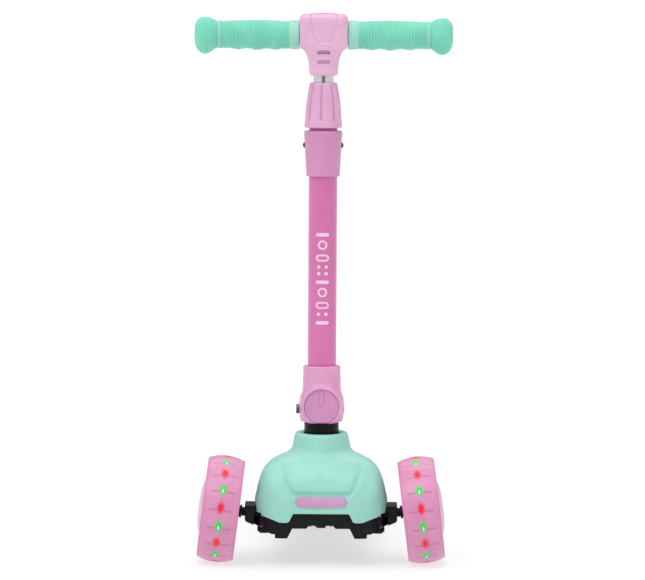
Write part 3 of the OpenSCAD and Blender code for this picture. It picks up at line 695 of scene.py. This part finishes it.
for word, side in SIDES:
    place, body, turn = wheel_frame(side), word + "_wheel", LAMP_TURN * side
    dress(tyre(word + "_tread", place @ Matrix.Translation((0, 0, 0.6)),
               FRONT_TYRE, LAMPS, turn, side > 0, 0.052),
          urethane, body, "pink_urethane", word + "_tyre")
    dress(hub_cap(word + "_cap", place), cap_pink, body, "pale_pink_plastic", word + "_hub_cap")
    for colour, mat, odd in (("red", red_lamp, side > 0), ("green", green_lamp, side < 0)):
        dress(lamp_bodies(f"{word}_{colour}_lamps", place, 43, 2.1, LAMPS, turn, odd), mat, body,
              "lamps", word + "_lights")
dress(tyre("rear_tread", REAR, REAR_TYRE, REAR_LAMPS, 0.0, True),
      urethane, "rear_wheel", "pink_urethane", "rear_tyre")
for colour, mat, odd in (("red", red_lamp, True), ("green", green_lamp, False)):
    dress(lamp_bodies(f"rear_{colour}_lamps", REAR, 29, 1.3, REAR_LAMPS, 0.0, odd), mat, "rear_wheel",
          "lamps", "rear_lights")


# ---- front cover

HOOD = [(-47, 116), (-42.5, 103), (-37, 89), (-31, 82.5), (31, 82.5), (37, 89), (42.5, 103), (47, 116)]


def hood_half(z):
    """Half width of the raised panel."""
    return np.interp(z, [82, 89, 103, 116], [31, 37, 42.5, 47])


def to_line(x, z, line):
    """Distance to an open line."""
    best = np.inf
    for (ax, az), (bx, bz) in zip(line, line[1:]):
        ex, ez = bx - ax, bz - az
        t = np.clip(((x - ax) * ex + (z - az) * ez) / (ex ** 2 + ez ** 2), 0, 1)
        best = np.minimum(best, np.hypot(x - ax - t * ex, z - az - t * ez))
    return best


def cover_shell():
    """Skirt, shoulders and neck in one skin: rows of rounded sections up to the neck's rim."""
    # half width, height, how far forward and back of the wheels' axle line, squareness
    rows = [
        (73.4, 50.6, 41.2, 46.0, 3.9), (74.0, 59, 42.0, 46.0, 3.9), (73.9, 68, 42.0, 46.0, 3.9),
        (72.6, 79, 41.6, 45.8, 3.8), (70.6, 89, 40.2, 45.4, 3.6), (67.0, 100, 37.2, 44.6, 3.3),
        (62.4, 108, 33.4, 43.6, 3.0), (55.2, 114.8, 28.6, 43.2, 2.7), (46.0, 119.6, 23.6, 44.4, 2.4),
        (37.4, 123.4, 19.8, 46.6, 2.15), (33.4, 128, 18.0, 47.0, 2.0), (31.8, 134, 16.9, 45.8, 2.0),
        (30.6, 140, 15.9, 44.6, 2.0), (29.6, 143.6, 15.0, 43.4, 2.0), (27.4, 145.5, 12.9, 41.2, 2.0),
        (24.4, 145.6, 9.9, 38.2, 2.0), (21.6, 145.2, 7.2, 35.2, 2.0), (20.2, 143.8, 5.8, 33.9, 2.0),
        (20.1, 139, 5.9, 34.0, 2.0),
    ]
    level = even_rows(rows, 130)
    around = 300
    phi = np.linspace(0, 2 * math.pi, around, endpoint=False)
    a, z, front, rear, n = (level[:, k:k + 1] for k in range(5))
    mid, deep = (rear - front) / 2, (rear + front) / 2
    c, s = np.cos(phi)[None, :], np.sin(phi)[None, :]
    reach = (np.abs(c / a) ** n + np.abs(s / deep) ** n) ** (-1 / n)
    x, y = reach * c, mid + reach * s
    ax = np.abs(x[0])
    # Below the bend, the skirt runs down to a lower edge that clears the arms and the deck
    bend = 80
    bottom = np.interp(ax, [0, 30, 31.5, 35.5, 38, 46, 56, 66, 74],
                       [61, 61, 60.2, 52, 50.7, 50.7, 54.4, 57.6, 60])
    bottom = np.where(y[0] > -30, 60.0, bottom)
    over_arm = between(y[0], -20.5, 20.5, 2.5) * (ax > 60)
    over_deck = (y[0] > 35) * step01((64.5 - ax) / 2.5)
    bottom = bottom + (66.6 - bottom) * np.maximum(over_arm, over_deck)
    share = np.clip((bend - z) / (bend - z[0]), 0, 1)
    z = np.where(z < bend, bend - share * (bend - bottom), z)
    facing = step01((-s - 0.12) / 0.25) * step01((118 - z) / 5)
    groove = bump(to_line(x, z, HOOD) / 3.4)
    deep_end = step01((110 - z) / 24)
    lift = between(x, -hood_half(z), hood_half(z), 6) * between(z, 83.5, 112, 3, 20)
    seat = step01((31 - np.abs(x)) / 3) * between(z, 64.5, 81, 2)
    y = y + facing * (groove * (1.1 + 0.9 * deep_end) - 1.2 * lift + 0.7 * seat)
    lobe = bump((z - 92) / 15) * bump((np.abs(x) - 57) / 11) * (y < 0)
    y = y - 0.9 * lobe * facing + FRONT_Y
    verts = np.stack([x, y, z], -1).reshape(-1, 3)
    obj = piece("cover_shell", verts, grid_faces(len(level), around), ROW, 55)
    skin = obj.modifiers.new("skin", "SOLIDIFY")
    skin.thickness = 0.0022
    skin.offset = -1
    skin.use_even_offset = False
    return obj


dress(cover_shell(), mint_plastic, "deck", "mint_plastic", "front_cover")


def badge_plate():
    """Slightly bowed plate with round ends and a raised row of plain shapes."""
    half_x, half_z = 28.5, 5.95
    nx, nz = 190, 42
    x, v = np.meshgrid(np.linspace(-half_x, half_x, nx), np.linspace(-1, 1, nz), indexing="ij")
    z = v * half_z * np.maximum(quarter_round(half_x - np.abs(x), half_z), 0.02)
    d = half_z - np.hypot(np.maximum(np.abs(x) - half_x + half_z, 0), z)
    raised = np.zeros_like(x)
    for cx, w in ((-21, 2.2), (-13.5, 3.4), (-6, 1.2), (1, 3.4), (9, 2.2), (15.5, 1.2), (21.5, 2.0)):
        q = np.hypot(np.maximum(np.abs(x - cx) - w, 0), np.maximum(np.abs(z) - 1.0, 0)) - 1.5
        raised = np.maximum(raised, step01(-q / 0.6 + 0.5))
    rise = 1.5 * quarter_round(d, 1.6) + 0.45 * raised - 0.35 * bump((d - 1.9) / 0.35)
    y = FRONT_Y - 41.5 - rise
    z = z + 73.9 + 0.0009 * x ** 2
    front = np.stack([x, y, z], -1).reshape(-1, 3)
    back = front.copy()
    back[:, 1] = FRONT_Y - 40.2
    faces = grid_faces(nx, nz, close_cols=False)
    faces = faces + [tuple(nx * nz + i for i in f[::-1]) for f in faces]
    rim = grid_rim(nx, nz)
    for i, j in zip(rim, rim[1:] + rim[:1]):
        faces.append((i, j, j + nx * nz, i + nx * nz))
    return piece("badge", np.concatenate([front, back]), faces, ROW, 60, 1e-4)


dress(badge_plate(), badge_pink, "deck", "pink_plastic", "cover_badge")


# ---- fold housing and button

def housing_field(x, y, z):
    """Round boss, bulging cheeks and a socket for the tube, run together with soft corners."""
    rim = length(x, y)
    low_cap = -13.5 - z
    ball = common(length(x, y, z) - 25.4, low_cap, 3.0)
    cup = common(rim - (21.9 - 1.3 * (z - 10) / 38.5), np.maximum(z - 48.5, 8 - z), 1.6)
    waist = common(rim - np.clip(23.4 - 0.035 * (z + 8), 21.6, 24.5), np.abs(z) - 13.5, 2.0)
    boss_r = length(x, z - BUTTON_UP)
    boss = common(drum(boss_r, -y, 22.8, 4, 26.4, 2.2), low_cap, 1.6)
    body = join(join(ball, waist, 3.0), cup, 7.0)
    body = join(body, boss, 4.5)
    bolt = length(y, z)
    tube = drum(rim, z, TUBE_R + 0.05, TUBE_LOW, 60)
    for hole, edge in (
            (drum(boss_r, -y, BUTTON_R + 0.1, 19.7, 40), 0.5),  # the button's recess
            (drum(boss_r, -y, 4.15, 0, 40), 0.1),  # and its plunger
            (tube, 0.8),
            (block(x, y, z, (-13, -13.2, -30), (13, 46, 0)), 0.5),  # the steering post
            (block(x, y, z, (-13, 0, -1), (13, 60, 13.2)), 0.5),  # and its way as it folds
            (drum(bolt, x, 13.2, -13, 13), 0.5),  # and its eye
            (common(block(x, y, z, (-40, 0, -40), (40, 60, 0)), 13.5 - bolt, 0.2), 0.8),  # lower back
            (drum(bolt, x, 4.05, -40, 40), 0.1),  # the pivot bolt and its heads
            (drum(bolt, x, 6.2, 24.4, 40), 0.3),
            (drum(bolt, x, 6.2, -40, -24.6), 0.3)):
        body = cut(body, hole, edge)
    lip = drum(rim, z, 20.9, 45.2, 48.6, 1.3)
    return join(body, cut(lip, tube, 0.3), 1.2)


dress(solid("fold_socket", housing_field, (-27, -28, -15), (27, 27, 50), 0.62, STEM),
      pink_plastic, "stem", "pink_plastic", "fold_housing")

ARROW = [(-1.9, 20.8), (1.9, 20.8), (1.9, 11.2), (3.9, 11.2), (0, 4.2), (-3.9, 11.2), (-1.9, 11.2)]


def button_field(x, y, z):
    """Button with a softly domed face and a raised arrow that points down."""
    r = length(x, z - BUTTON_UP)
    face = -25.9 + 0.0022 * r ** 2
    disc = common(common(r - BUTTON_R, np.maximum(face - y, y + 23.7), 0.3), -13.2 - z, 0.8)
    arrow = outline2(x, z, ARROW)
    disc = join(disc, common(arrow, np.maximum(face - 0.9 - y, y + 24), 0.6), 0.5)
    disc = cut(disc, common(np.abs(arrow - 0.8) - 0.5, y - face - 0.5, 0.2), 0.4)
    return join(disc, drum(r, -y, 4, 12.2, 24), 0.5)


# The button takes the darker collar pink: painted shade, for the soft shadow on the disc
dress(solid("release_button", button_field, (-20.5, -28.0, -15), (20.5, -11.5, 25), 0.4, STEM, 1),
      collar_pink, "fold_button", "pink_plastic", "fold_button")


# ---- stem

def ring_outline(points, radii, gap):
    """Rounded outline with points no further apart than gap."""
    return spread(rounded(points, radii), gap)


def tube_outline(bore, r, low, high, radii, gap):
    return ring_outline([(bore, low), (r, low), (r, high), (bore, high), (bore, low)], radii, gap)


dress(lathe("stem_column", tube_outline(TUBE_R - 2, TUBE_R, TUBE_LOW, TUBE_HIGH, [0.3, 0.5, 0.5], 6),
            STEM, 128), pink_paint, "stem", "pink_paint", "stem_tube")


# Shapes of the stem's pattern: places across, rise to the middle, half width, half height,
# width of the line (0 when filled) and the way up to the next shape
SHAPES = {
    "bar": ((0,), 0, 7.6, 1.9, 0, 9.5),
    "dot": ((-4.2, 4.2), 0, 2.0, 2.0, 0, 7.5),
    "long": ((0,), 2.5, 7.6, 4.0, 2.1, 14.5),
    "ring": ((0,), 2.5, 5.4, 5.4, 2.1, 14),
}
PATTERN, PATTERN_LOW = "bar dot long ring bar dot dot long ring bar", 98


def decal():
    """Generic pattern on the tube's front: a column of bars, rings and dots."""

    def stadium(hx, r):
        """Outline of a bar with round ends, evenly stepped."""
        line = [(sx * (hx - r) + r * math.cos(b), r * math.sin(b))
                for sx, turn in ((1, 0), (-1, 90), (-1, 180), (1, 270))
                for b in np.radians(turn + np.arange(0, 91, 10))]
        dense = np.array(line + line[:1])
        run = run_along(dense)
        at = np.linspace(0, run[-1], 73)[:-1]
        return np.stack([np.interp(at, run, dense[:, 0]), np.interp(at, run, dense[:, 1])], 1)

    def patch(cx, cz, hx, r, hole):
        """One shape, wrapped round the tube."""
        outer = stadium(hx, r)
        inner = stadium(hx - hole, r - hole) if hole else outer * 0.001
        n, around = 3 if hole else 9, len(outer)
        rings = [outer + (inner - outer) * k / (n - 1) for k in range(n)]
        verts = []
        for lift in (0.08, -0.3):
            for ring in rings:
                turn = (cx + ring[:, 0]) / TUBE_R
                verts += np.stack([(TUBE_R + lift) * np.sin(turn), -(TUBE_R + lift) * np.cos(turn),
                                   cz + ring[:, 1]], -1).tolist()
        faces = grid_faces(n, around) + grid_faces(n, around, start=n * around)
        wall = [(j, k, n * around + k, n * around + j)
                for j, k in ((j, (j + 1) % around) for j in range(around))]
        if hole:
            base = (n - 1) * around
            wall += [tuple(base + i for i in f) for f in wall]
        return verts, faces + wall

    parts, z = [], PATTERN_LOW
    for kind in PATTERN.split():
        across, rise, half_x, half_z, hole, way_up = SHAPES[kind]
        parts += [patch(x, z + rise, half_x, half_z, hole) for x in across]
        z += way_up
    return piece("stem_pattern", *merged(parts), STEM, 40, 1e-4)


dress(decal(), decal_pale, "stem", "pale_pink_plastic")

dress(lathe("collar", ring_outline(
    [(TUBE_R, COLLAR_LOW), (18.7, COLLAR_LOW), (19.1, 269), (21.3, 309), (21.1, COLLAR_HIGH),
     (16.2, COLLAR_HIGH), (TUBE_R, 311.6), (TUBE_R, COLLAR_LOW)], [0.9, 3, 1.5, 1.2, 0.4, 0.3], 1.5),
    STEM, 144, False, lambda r, z, a: (r + 0.25 * bump((z - 307.2) / 0.7) * (r > 17), z)),
    collar_pink, "stem", "pink_plastic", "stem_collar")


def knob():
    """Grip knob with eight long flutes above a plain foot."""
    side = [(KNOB_R - 0.9 * t - 4.9 * t ** 2.4, KNOB_TALL * t) for t in np.linspace(0, 1, 40)]
    rows = [(16.6, 0.3), (17, 0), (20.2, 0), (20.8, 0.3), (KNOB_R, 1.0)] + side[2:-1]
    rows += [(15.0, 49.7), (14.4, KNOB_TALL), (12.6, KNOB_TALL), (12.35, 49.8), (12.35, 46),
             (13.6, 45.6), (16.4, 32), (16.4, 1)]
    outline = spread(np.array(rows + rows[:1]), 0.9)[:-1]

    def from_flute(angle):
        """Angle to the nearest flute."""
        t = (angle - math.radians(262.5)) / (math.pi / 4)
        return (t - np.round(t)) * (math.pi / 4)

    def ends(z):
        return between(z, 6.4, 49, 2.2, 3)

    def relief(r, z, angle):
        away, outside = from_flute(angle), r > 14.3
        wide = 0.085 + 0.03 * np.clip((z - 8) / 40, 0, 1)
        flute = bump(away / wide) * 0.95 + 0.6 * bump(away / 0.24)
        ring = 0.35 * bump((z - 6.0) / 0.5)
        return r - outside * (flute * ends(z) + ring), z

    # The flute attribute marks the middle of each flute for its painted shade
    return lathe("knob", outline, STEM @ Matrix.Translation((0, 0, KNOB_FOOT)), 288, True, relief, 50,
                 {"flute": lambda r, z, a: bump(from_flute(a) / 0.07) * 0.5 * ends(z) * (r > 14.3)})


dress(knob(), knob_pink, "height_knob", "pink_plastic", "height_knob")


# ---- handlebar

def slider():
    """Chromed tube with a rolled key groove down its front."""
    outline = tube_outline(SLIDER_R - 1.5, SLIDER_R, SLIDER_LOW, SLIDER_HIGH, [0.4, 0.4, 0.3], 3)

    def away(angle):
        """Distance round the tube from its front, in mm."""
        return (np.mod(angle - math.pi / 2, 2 * math.pi) - math.pi) * SLIDER_R

    # The groove attribute carries the painted shade and dark reflection in the key groove
    return lathe("slider_tube", outline, STEM, 180, False,
                 lambda r, z, a: (r - 1.35 * (1 - step01((np.abs(away(a)) - 1.2) / 1.2)) * (r > 11), z),
                 50, {"groove": lambda r, z, a: bump(away(a) / 1.7) * (r > 9.8)})


dress(slider(), chrome, "handlebar", "chrome", "inner_tube")

# Half outlines of the T: from the front and from the side
T_TOP, T_FOOT = 26.4, -47
T_HALF = [(0, T_TOP), (8, 26.2), (12, 25.8), (15.5, 24.3), (17.2, 24.4), (20.5, 25.0), (23.2, 23.8),
          (25.4, 21.4), (26.4, 18.2), (26.4, -13.2), (25.6, -14.9), (22.5, -16.6), (20.2, -20),
          (18.6, -24), (17.3, -29), (16.5, -35), (15.8, T_FOOT)]
T_SIDE = [(0, T_TOP), (11, T_TOP), (14.2, 25.6), (17.2, 23.2), (19.3, 19), (20.4, 13.4), (20.4, -11),
          (19.8, -15), (18.6, -20), (17.2, -30), (16.2, -38), (15.8, T_FOOT)]
PANEL = [(-15, 30), (15, 30), (14.4, 16), (12.9, 6), (10.8, -1.5), (8.6, -6.2), (6.6, -8.1), (-6.6, -8.1),
         (-8.6, -6.2), (-10.8, -1.5), (-12.9, 6), (-14.4, 16)]


def t_body(x, y, z):
    """The whole T, bored for the crossbar and the chromed tube."""
    body = common(outline2(x, z, mirrored(T_HALF)), outline2(y, z, mirrored(T_SIDE)), 7.0)
    flat = common(np.abs(x) - 26.3, np.maximum(-14.6 - z, z - T_TOP), 0.4)
    round_bar = common(length(y, z) - 20.2, np.abs(x) - 26.3, 1.6)
    body = common(join(body, common(round_bar, flat, 0.5), 2.0), np.maximum(z - T_TOP, T_FOOT - z), 0.8)
    body = cut(body, length(y, z) - 11.15, 0.3)
    return cut(body, common(length(x, y) - 11.8, z, 0.3), 0.3)


T_SCREWS = [(x, z) for x in (-19.5, 19.5) for z in (16, -13.4)]


def t_front(x, y, z):
    """Front half: a sunk panel and two slots."""
    body = t_body(x, y, z)
    panel = outline2(x, z, PANEL)
    body = cut(body, common(common(panel, -(body + 1.0), 0.6), y, 0.2), 0.9)
    body = cut(body, common(np.abs(panel - 0.2) - 0.35, -(body + 0.5), 0.3), 0.3)
    for low in (-21.2, -31.8):
        arch = z + 0.014 * x ** 2
        slot = block(x, y, arch, (-6.8, -40, low), (6.8, -14.6, low + 3.9), 0.8)
        body = join(body, common(np.abs(slot - 0.9) - 0.5, body - 0.35, 0.3), 0.5)
        body = cut(body, slot, 0.5)
    for sx, sz in T_SCREWS:
        body = cut(body, drum(length(x - sx, z - sz), y, 1.6, -12, 5), 0.2)
    return common(body, y + 0.12, 0.25)


def t_back(x, y, z):
    """Back half: four screw wells and two short grooves."""
    body = t_body(x, y, z)
    for sx, sz in T_SCREWS:
        well = length(x - sx, z - sz)
        body = cut(cut(body, drum(well, y, 3.3, 17.2, 40), 0.4), drum(well, y, 1.7, -5, 30), 0.1)
    ribs = common(np.abs(np.abs(z + 22) - 4) - 0.8, np.abs(x) - 7.5, 0.4)
    body = cut(body, common(ribs, -(body + 0.8), 0.4), 0.4)
    return common(body, 0.12 - y, 0.25)


for word, field, low, high in (("front", t_front, (-28, -22, -48.6), (28, 1.6, 28)),
                               ("back", t_back, (-28, -1.6, -48.6), (28, 22, 28))):
    dress(solid("t_" + word, field, low, high, 0.58, BAR, 1), light_pink, "handlebar",
          "pink_plastic", "t_piece_" + word)


# Distance along the bar from its middle, and the grip's radius there
GRIP = [(27.2, 15.7), (28.0, 16.3), (35.6, 16.3), (38.2, 15.1), (46, 15.3), (70, 16.2), (96, 15.6),
        (112, 14.7), (117, 14.9), (119, 15.2), (122, 16.5), (125.5, 18.7), (129, 20.1), (133, 20.7),
        (136, 20.3), (139, 18.9), (141.2, 17.0), (142.4, 15.6), (143.5, 13.6), (144.3, 11.4),
        (144.8, 8.4), (145.0, 5.0), (145.1, 0.0)]
GRIP_START, GRIP_NECK, GRIP_END = 27.2, 119, 144.3


def grip(name, side):
    """Ribbed rubber grip: flange, finger waves underneath, a neck ring and a bulb at the end."""
    along, radius = zip(*GRIP)
    rows = np.concatenate([np.linspace(GRIP_START, along[-7], 640), along[-6:]])
    # The bulb is pressed together a little, so that it ends at GRIP_END
    squeeze = (GRIP_END - GRIP_NECK) / (along[-1] - GRIP_NECK)
    outline = [(np.interp(v, along, radius), v if v < GRIP_NECK else GRIP_NECK + (v - GRIP_NECK) * squeeze)
               for v in rows]

    def relief(r, z, angle):
        outside = (r > 11.5) | (z > 138)
        down = -np.cos(angle)
        ribbed = between(z, 38.8, 115.2, 0.8)
        tooth = np.clip(np.cos(2 * math.pi * (z - 39.5) / 3.4) * 1.8 + 0.5, -1, 1) * 0.42
        bulb = between(z, 119.5, 141.4, 1.5, 1.0)
        fine = np.clip(np.cos(2 * math.pi * (z - 120) / 2.5) * 1.6, -1, 1) * 0.32
        under = step01((down - 0.25) / 0.6) * ribbed
        waves = 0.8 * np.cos(2 * math.pi * (z - 74.7) / 21.8) * between(z, 42, 110, 8)
        ring = 0.8 * between(z, 114.9, 118.6, 0.5)
        dip = -0.7 * bump((z - 119.2) / 0.8)
        seam = 0.16 * bump(np.cos(angle + 0.08) / 0.03) * (ribbed + bulb) * (r > 10)
        worn = 0.0375 * ribbed * step01(np.abs(down))
        add = tooth * ribbed * (1 - worn) + fine * bulb + under * (0.35 + waves) + ring + dip
        add = np.where(r > 3, add + 1.3 * down * bump((z - 132) / 8), 0)
        return r + outside * (add + seam), z

    # +Z runs outwards along the bar, and angle 0 is up
    turn = in_frame((0, 0, 0), (side, 0, 0), (0, 0, 1))
    place = BAR @ (Matrix.Scale(1 / MM, 4) @ turn)
    pale = {"pale": lambda r, z, a: step01((38.6 - z) / 0.8) * 0.75 + 0.5 * bump((z - 116.8) / 1.6)}
    return lathe(name, np.array([(0, 137), (11.2, 137), (11.2, GRIP_START)] + outline), place, 120,
                 False, relief, 70, pale)


for word, side in SIDES:
    dress(grip(word + "_rubber", side), mint_rubber, "handlebar", "mint_rubber", word + "_grip")


# ---- deck and brake

PAD_LOW, PAD_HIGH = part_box("grip_pad")
DECK_FRONT, DECK_REAR = FRONT_Y + 36, joint_at("rear_wheel_spin")[1] - 47


def deck_half(y):
    """Half width of the deck board."""
    t = (y - DECK_FRONT) / (DECK_REAR - DECK_FRONT)
    return 60 - 4 * (1 - step01(t / 0.12)) - 15 * step01((t - 0.5) / 0.5)


def grip_pad():
    """Rubber pad: rounded border, a sunk line, and rows of raised pills and chevrons."""
    y0, y1 = PAD_LOW.y / MM + 0.1, PAD_HIGH.y / MM - 0.1
    base = PAD_LOW.z / MM
    ny, nx = 620, 210
    y, u = np.meshgrid(np.linspace(y0, y1, ny), np.linspace(-1, 1, nx), indexing="ij")
    in_y = np.minimum(y - y0, y1 - y)
    corner = 12.0
    half = np.maximum(deck_half(y) - 7.1 - corner * (1 - quarter_round(in_y, corner)), 8)
    x = u * half
    d = np.minimum((1 - np.abs(u)) * half, in_y)
    z = base + 2.2 * quarter_round(d, 1.6)
    field = step01((d - 7.5) / 1.0)
    z -= 0.6 * bump((d - 5.2) / 0.7)
    across, along = 9.0, 7.0
    row = np.round(y / along)
    px = (x + np.where(row % 2 == 0, 0.0, across / 2)) % across - across / 2
    py = y - row * along
    lean = py - 0.35 * np.abs(px)
    pill = np.hypot(np.maximum(np.abs(px) - 1.9, 0), lean + 0.3) - 1.15
    z += 0.75 * step01(-pill / 0.5 + 0.5) * field
    top = np.stack([x, y, z], -1).reshape(-1, 3)
    low = top.copy()
    low[:, 2] = base + 0.02
    faces = grid_faces(ny, nx, close_cols=False)
    rim = grid_rim(ny, nx)
    verts = np.concatenate([top, low[rim]])
    n, k = len(top), len(rim)
    faces += [(rim[i], rim[(i + 1) % k], n + (i + 1) % k, n + i) for i in range(k)]
    faces.append(tuple(range(n, n + k)))
    return piece("deck_pad", verts, faces, ROW, 70)


pad_rubber = moulded("pad_rubber", rgb(120, 210, 186), 0.66, vary=0.08, grain=0.6, grain_scale=1900,
                     worn=0.3, flow=0.08, dust=0.03, Sheen_Weight=0.12, Sheen_Roughness=0.5)
dress(grip_pad(), pad_rubber, "deck", "mint_rubber", "grip_pad")


FENDER_R = 47


def brake_field(x, y, z):
    """Fender over the rear wheel with turned-down lips, tread ribs and its hinge barrel."""
    _, wy, wz = joint_at("rear_wheel_spin")
    _, hy, hz = joint_at("brake_press")
    r = length(y - wy, z - wz)
    a = np.degrees(np.arctan2(z - wz, y - wy))
    a = np.where(a < -90, a + 360, a)
    arc = np.radians(1.0) * FENDER_R
    bulge = 1.2 * (x / 27) ** 2
    wide = common(common(np.abs(r - FENDER_R + bulge) - 1.75, np.abs(x) - 27, 1.4),
                  np.maximum(20.3 - a, a - 121.8) * arc, 2.0)
    lip = common(common(np.abs(np.abs(x) - 25.6) - 1.3, np.maximum(37.6 - r, r - FENDER_R), 1.0),
                 np.maximum(24.2 - a, a - 113.6) * arc, 6.0)
    narrow = common(common(np.abs(r - FENDER_R) - 1.6, np.abs(x) - 19.3, 0.8),
                    np.maximum(112 - a, a - 148.8) * arc, 0.6)
    body = join(join(wide, lip, 1.5), narrow, 1.0)
    for at in (62, 70, 78, 86, 94, 102):
        body = join(body, common(common(np.abs(a - at) * arc - 1.3, np.abs(x) - 17, 0.8),
                                 np.maximum(46 - r, r - 49.4), 0.8), 0.6)
    pin = length(y - hy, z - hz)
    barrel = drum(pin, x, 5, -19.6, 19.6, 0.5)
    plate = block(x, y, z, (-19.2, hy, hz - 0.3), (19.2, hy + 10.4, hz + 3.7), 0.4)
    body = join(body, join(barrel, plate, 1.0), 1.2)
    return cut(cut(body, pin - 2.56, 0.1), drum(pin, x, 5.7, -7.5, 7.5), 0.2)


fender_low, fender_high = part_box("rear_brake")
dress(solid("rear_fender", brake_field,
            (-28, fender_low.y / MM - 1.5, fender_low.z / MM - 1.5),
            (28, fender_high.y / MM + 1.5, fender_high.z / MM + 1.5), 0.62, ROW),
      black_nylon, "rear_brake", "black_nylon", "rear_brake")


# ---- CAD nodes that stay

FINISH = {
    black_nylon: "deck_board front_bridge left_knuckle right_knuckle tie_rod",
    post_black: "steering_post",
    zinc_steel: "bridge_bolts cover_screws post_bolt rear_axle rear_spacers brake_pin "
                "left_axle right_axle tie_rod_bolts left_bearings right_bearings rear_bearings crossbar",
    dark_steel: "return_springs brake_spring button_spring fold_pivot_bolt collar_screws t_piece_screws "
                "left_magnet_sleeve right_magnet_sleeve",
    white_nylon: "left_bushings right_bushings pivot_washers clamp_sleeve tube_guide",
    pale_pink: "left_core right_core rear_core",
    black_zinc: "kingpins",
}
SOFTENED = {"deck_board": 0.9, "front_bridge": 0.7, "left_knuckle": 0.4, "right_knuckle": 0.4,
            "tie_rod": 0.5, "steering_post": 0.5, "fold_pivot_bolt": 1.3, "collar_screws": 0.4,
            "left_core": 0.4, "right_core": 0.4, "rear_core": 0.4}
for material, names in FINISH.items():
    for name in names.split():
        obj = NODES[name]
        obj.data.materials.clear()
        obj.data.materials.append(material)
        if name in SOFTENED:
            flat = obj.modifiers.new("flat", "DECIMATE")
            flat.decimate_type = "DISSOLVE"
            flat.angle_limit = math.radians(1.5)
            edge = obj.modifiers.new("edge", "BEVEL")
            edge.width = SOFTENED[name] * MM
            edge.segments = 2
            edge.limit_method = "ANGLE"
            edge.angle_limit = math.radians(38)
            weigh = obj.modifiers.new("weigh", "WEIGHTED_NORMAL")
            weigh.keep_sharp = True


# ---- studio

def floor():
    """Wide pale floor."""
    n = Nodes("studio_floor")
    cloud = n.ramp(n.noise(1.2, 3), 0.3, 0.7)
    base = n.mix(cloud, rgb(154, 154, 154), rgb(158, 158, 158))
    n.plug(n.mix(cloud, (0.98, 0.98, 0.98, 1), (1, 1, 1, 1)), n.shader.inputs["Emission Color"])
    mat = n.finish(base, n.ramp(n.noise(6, 4), 0.3, 0.7, 0.85, 0.95),
                   n.relief(n.noise(300, 2), 0.0001, 0.05), Emission_Strength=0.65,
                   Specular_IOR_Level=0.1)
    mesh = bpy.data.meshes.new("studio_floor")
    size = 60.0
    corners = [(-size, -size, 0), (size, -size, 0), (size, size, 0), (-size, size, 0)]
    mesh.from_pydata(corners, [], [(0, 1, 2, 3)])
    obj = bpy.data.objects.new("studio_floor", mesh)
    bpy.context.scene.collection.objects.link(obj)
    mesh.materials.append(mat)
    obj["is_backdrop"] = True


def lamp(name, at, strength, spread_deg):
    """Soft sun that shines from at towards the origin."""
    data = bpy.data.lights.new(name, "SUN")
    data.energy = strength
    data.angle = math.radians(spread_deg)
    obj = bpy.data.objects.new(name, data)
    bpy.context.scene.collection.objects.link(obj)
    obj.location = at
    obj.rotation_euler = (-Vector(at)).to_track_quat("-Z", "Y").to_euler()


floor()
lamp("key", (-0.5, -1.3, 2.4), 1.35, 50)
lamp("back", (0.2, 1.4, 2.5), 0.8, 55)
lamp("left", (1.9, -0.6, 1.7), 0.5, 45)
lamp("right", (-1.9, -0.6, 1.7), 0.5, 45)

scene = bpy.context.scene
world = bpy.data.worlds.new("studio")
scene.world = world
world.use_nodes = True
world.node_tree.nodes["Background"].inputs["Color"].default_value = (1, 1, 1, 1)
world.node_tree.nodes["Background"].inputs["Strength"].default_value = 0.42
scene.view_settings.view_transform = "Standard"
scene.view_settings.look = "None"

camera = bpy.data.objects.new("camera", bpy.data.cameras.new("camera"))
scene.collection.objects.link(camera)
scene.camera = camera
camera.data.sensor_width = 36
camera.data.lens = 224.4
camera.data.clip_end = 60
DISTANCE, RAISE = 4.5, math.radians(6.1)
target = Vector((0.0002, JOINTS["stem_fold"]["pos_m"][1], 0.3055))
camera.location = target + DISTANCE * Vector((0, -math.cos(RAISE), math.sin(RAISE)))
aim = (target - camera.location).to_track_quat("-Z", "Y")
camera.rotation_euler = (aim.to_matrix() @ Matrix.Rotation(math.radians(0.34), 3, "Z")).to_euler()

low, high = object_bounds()
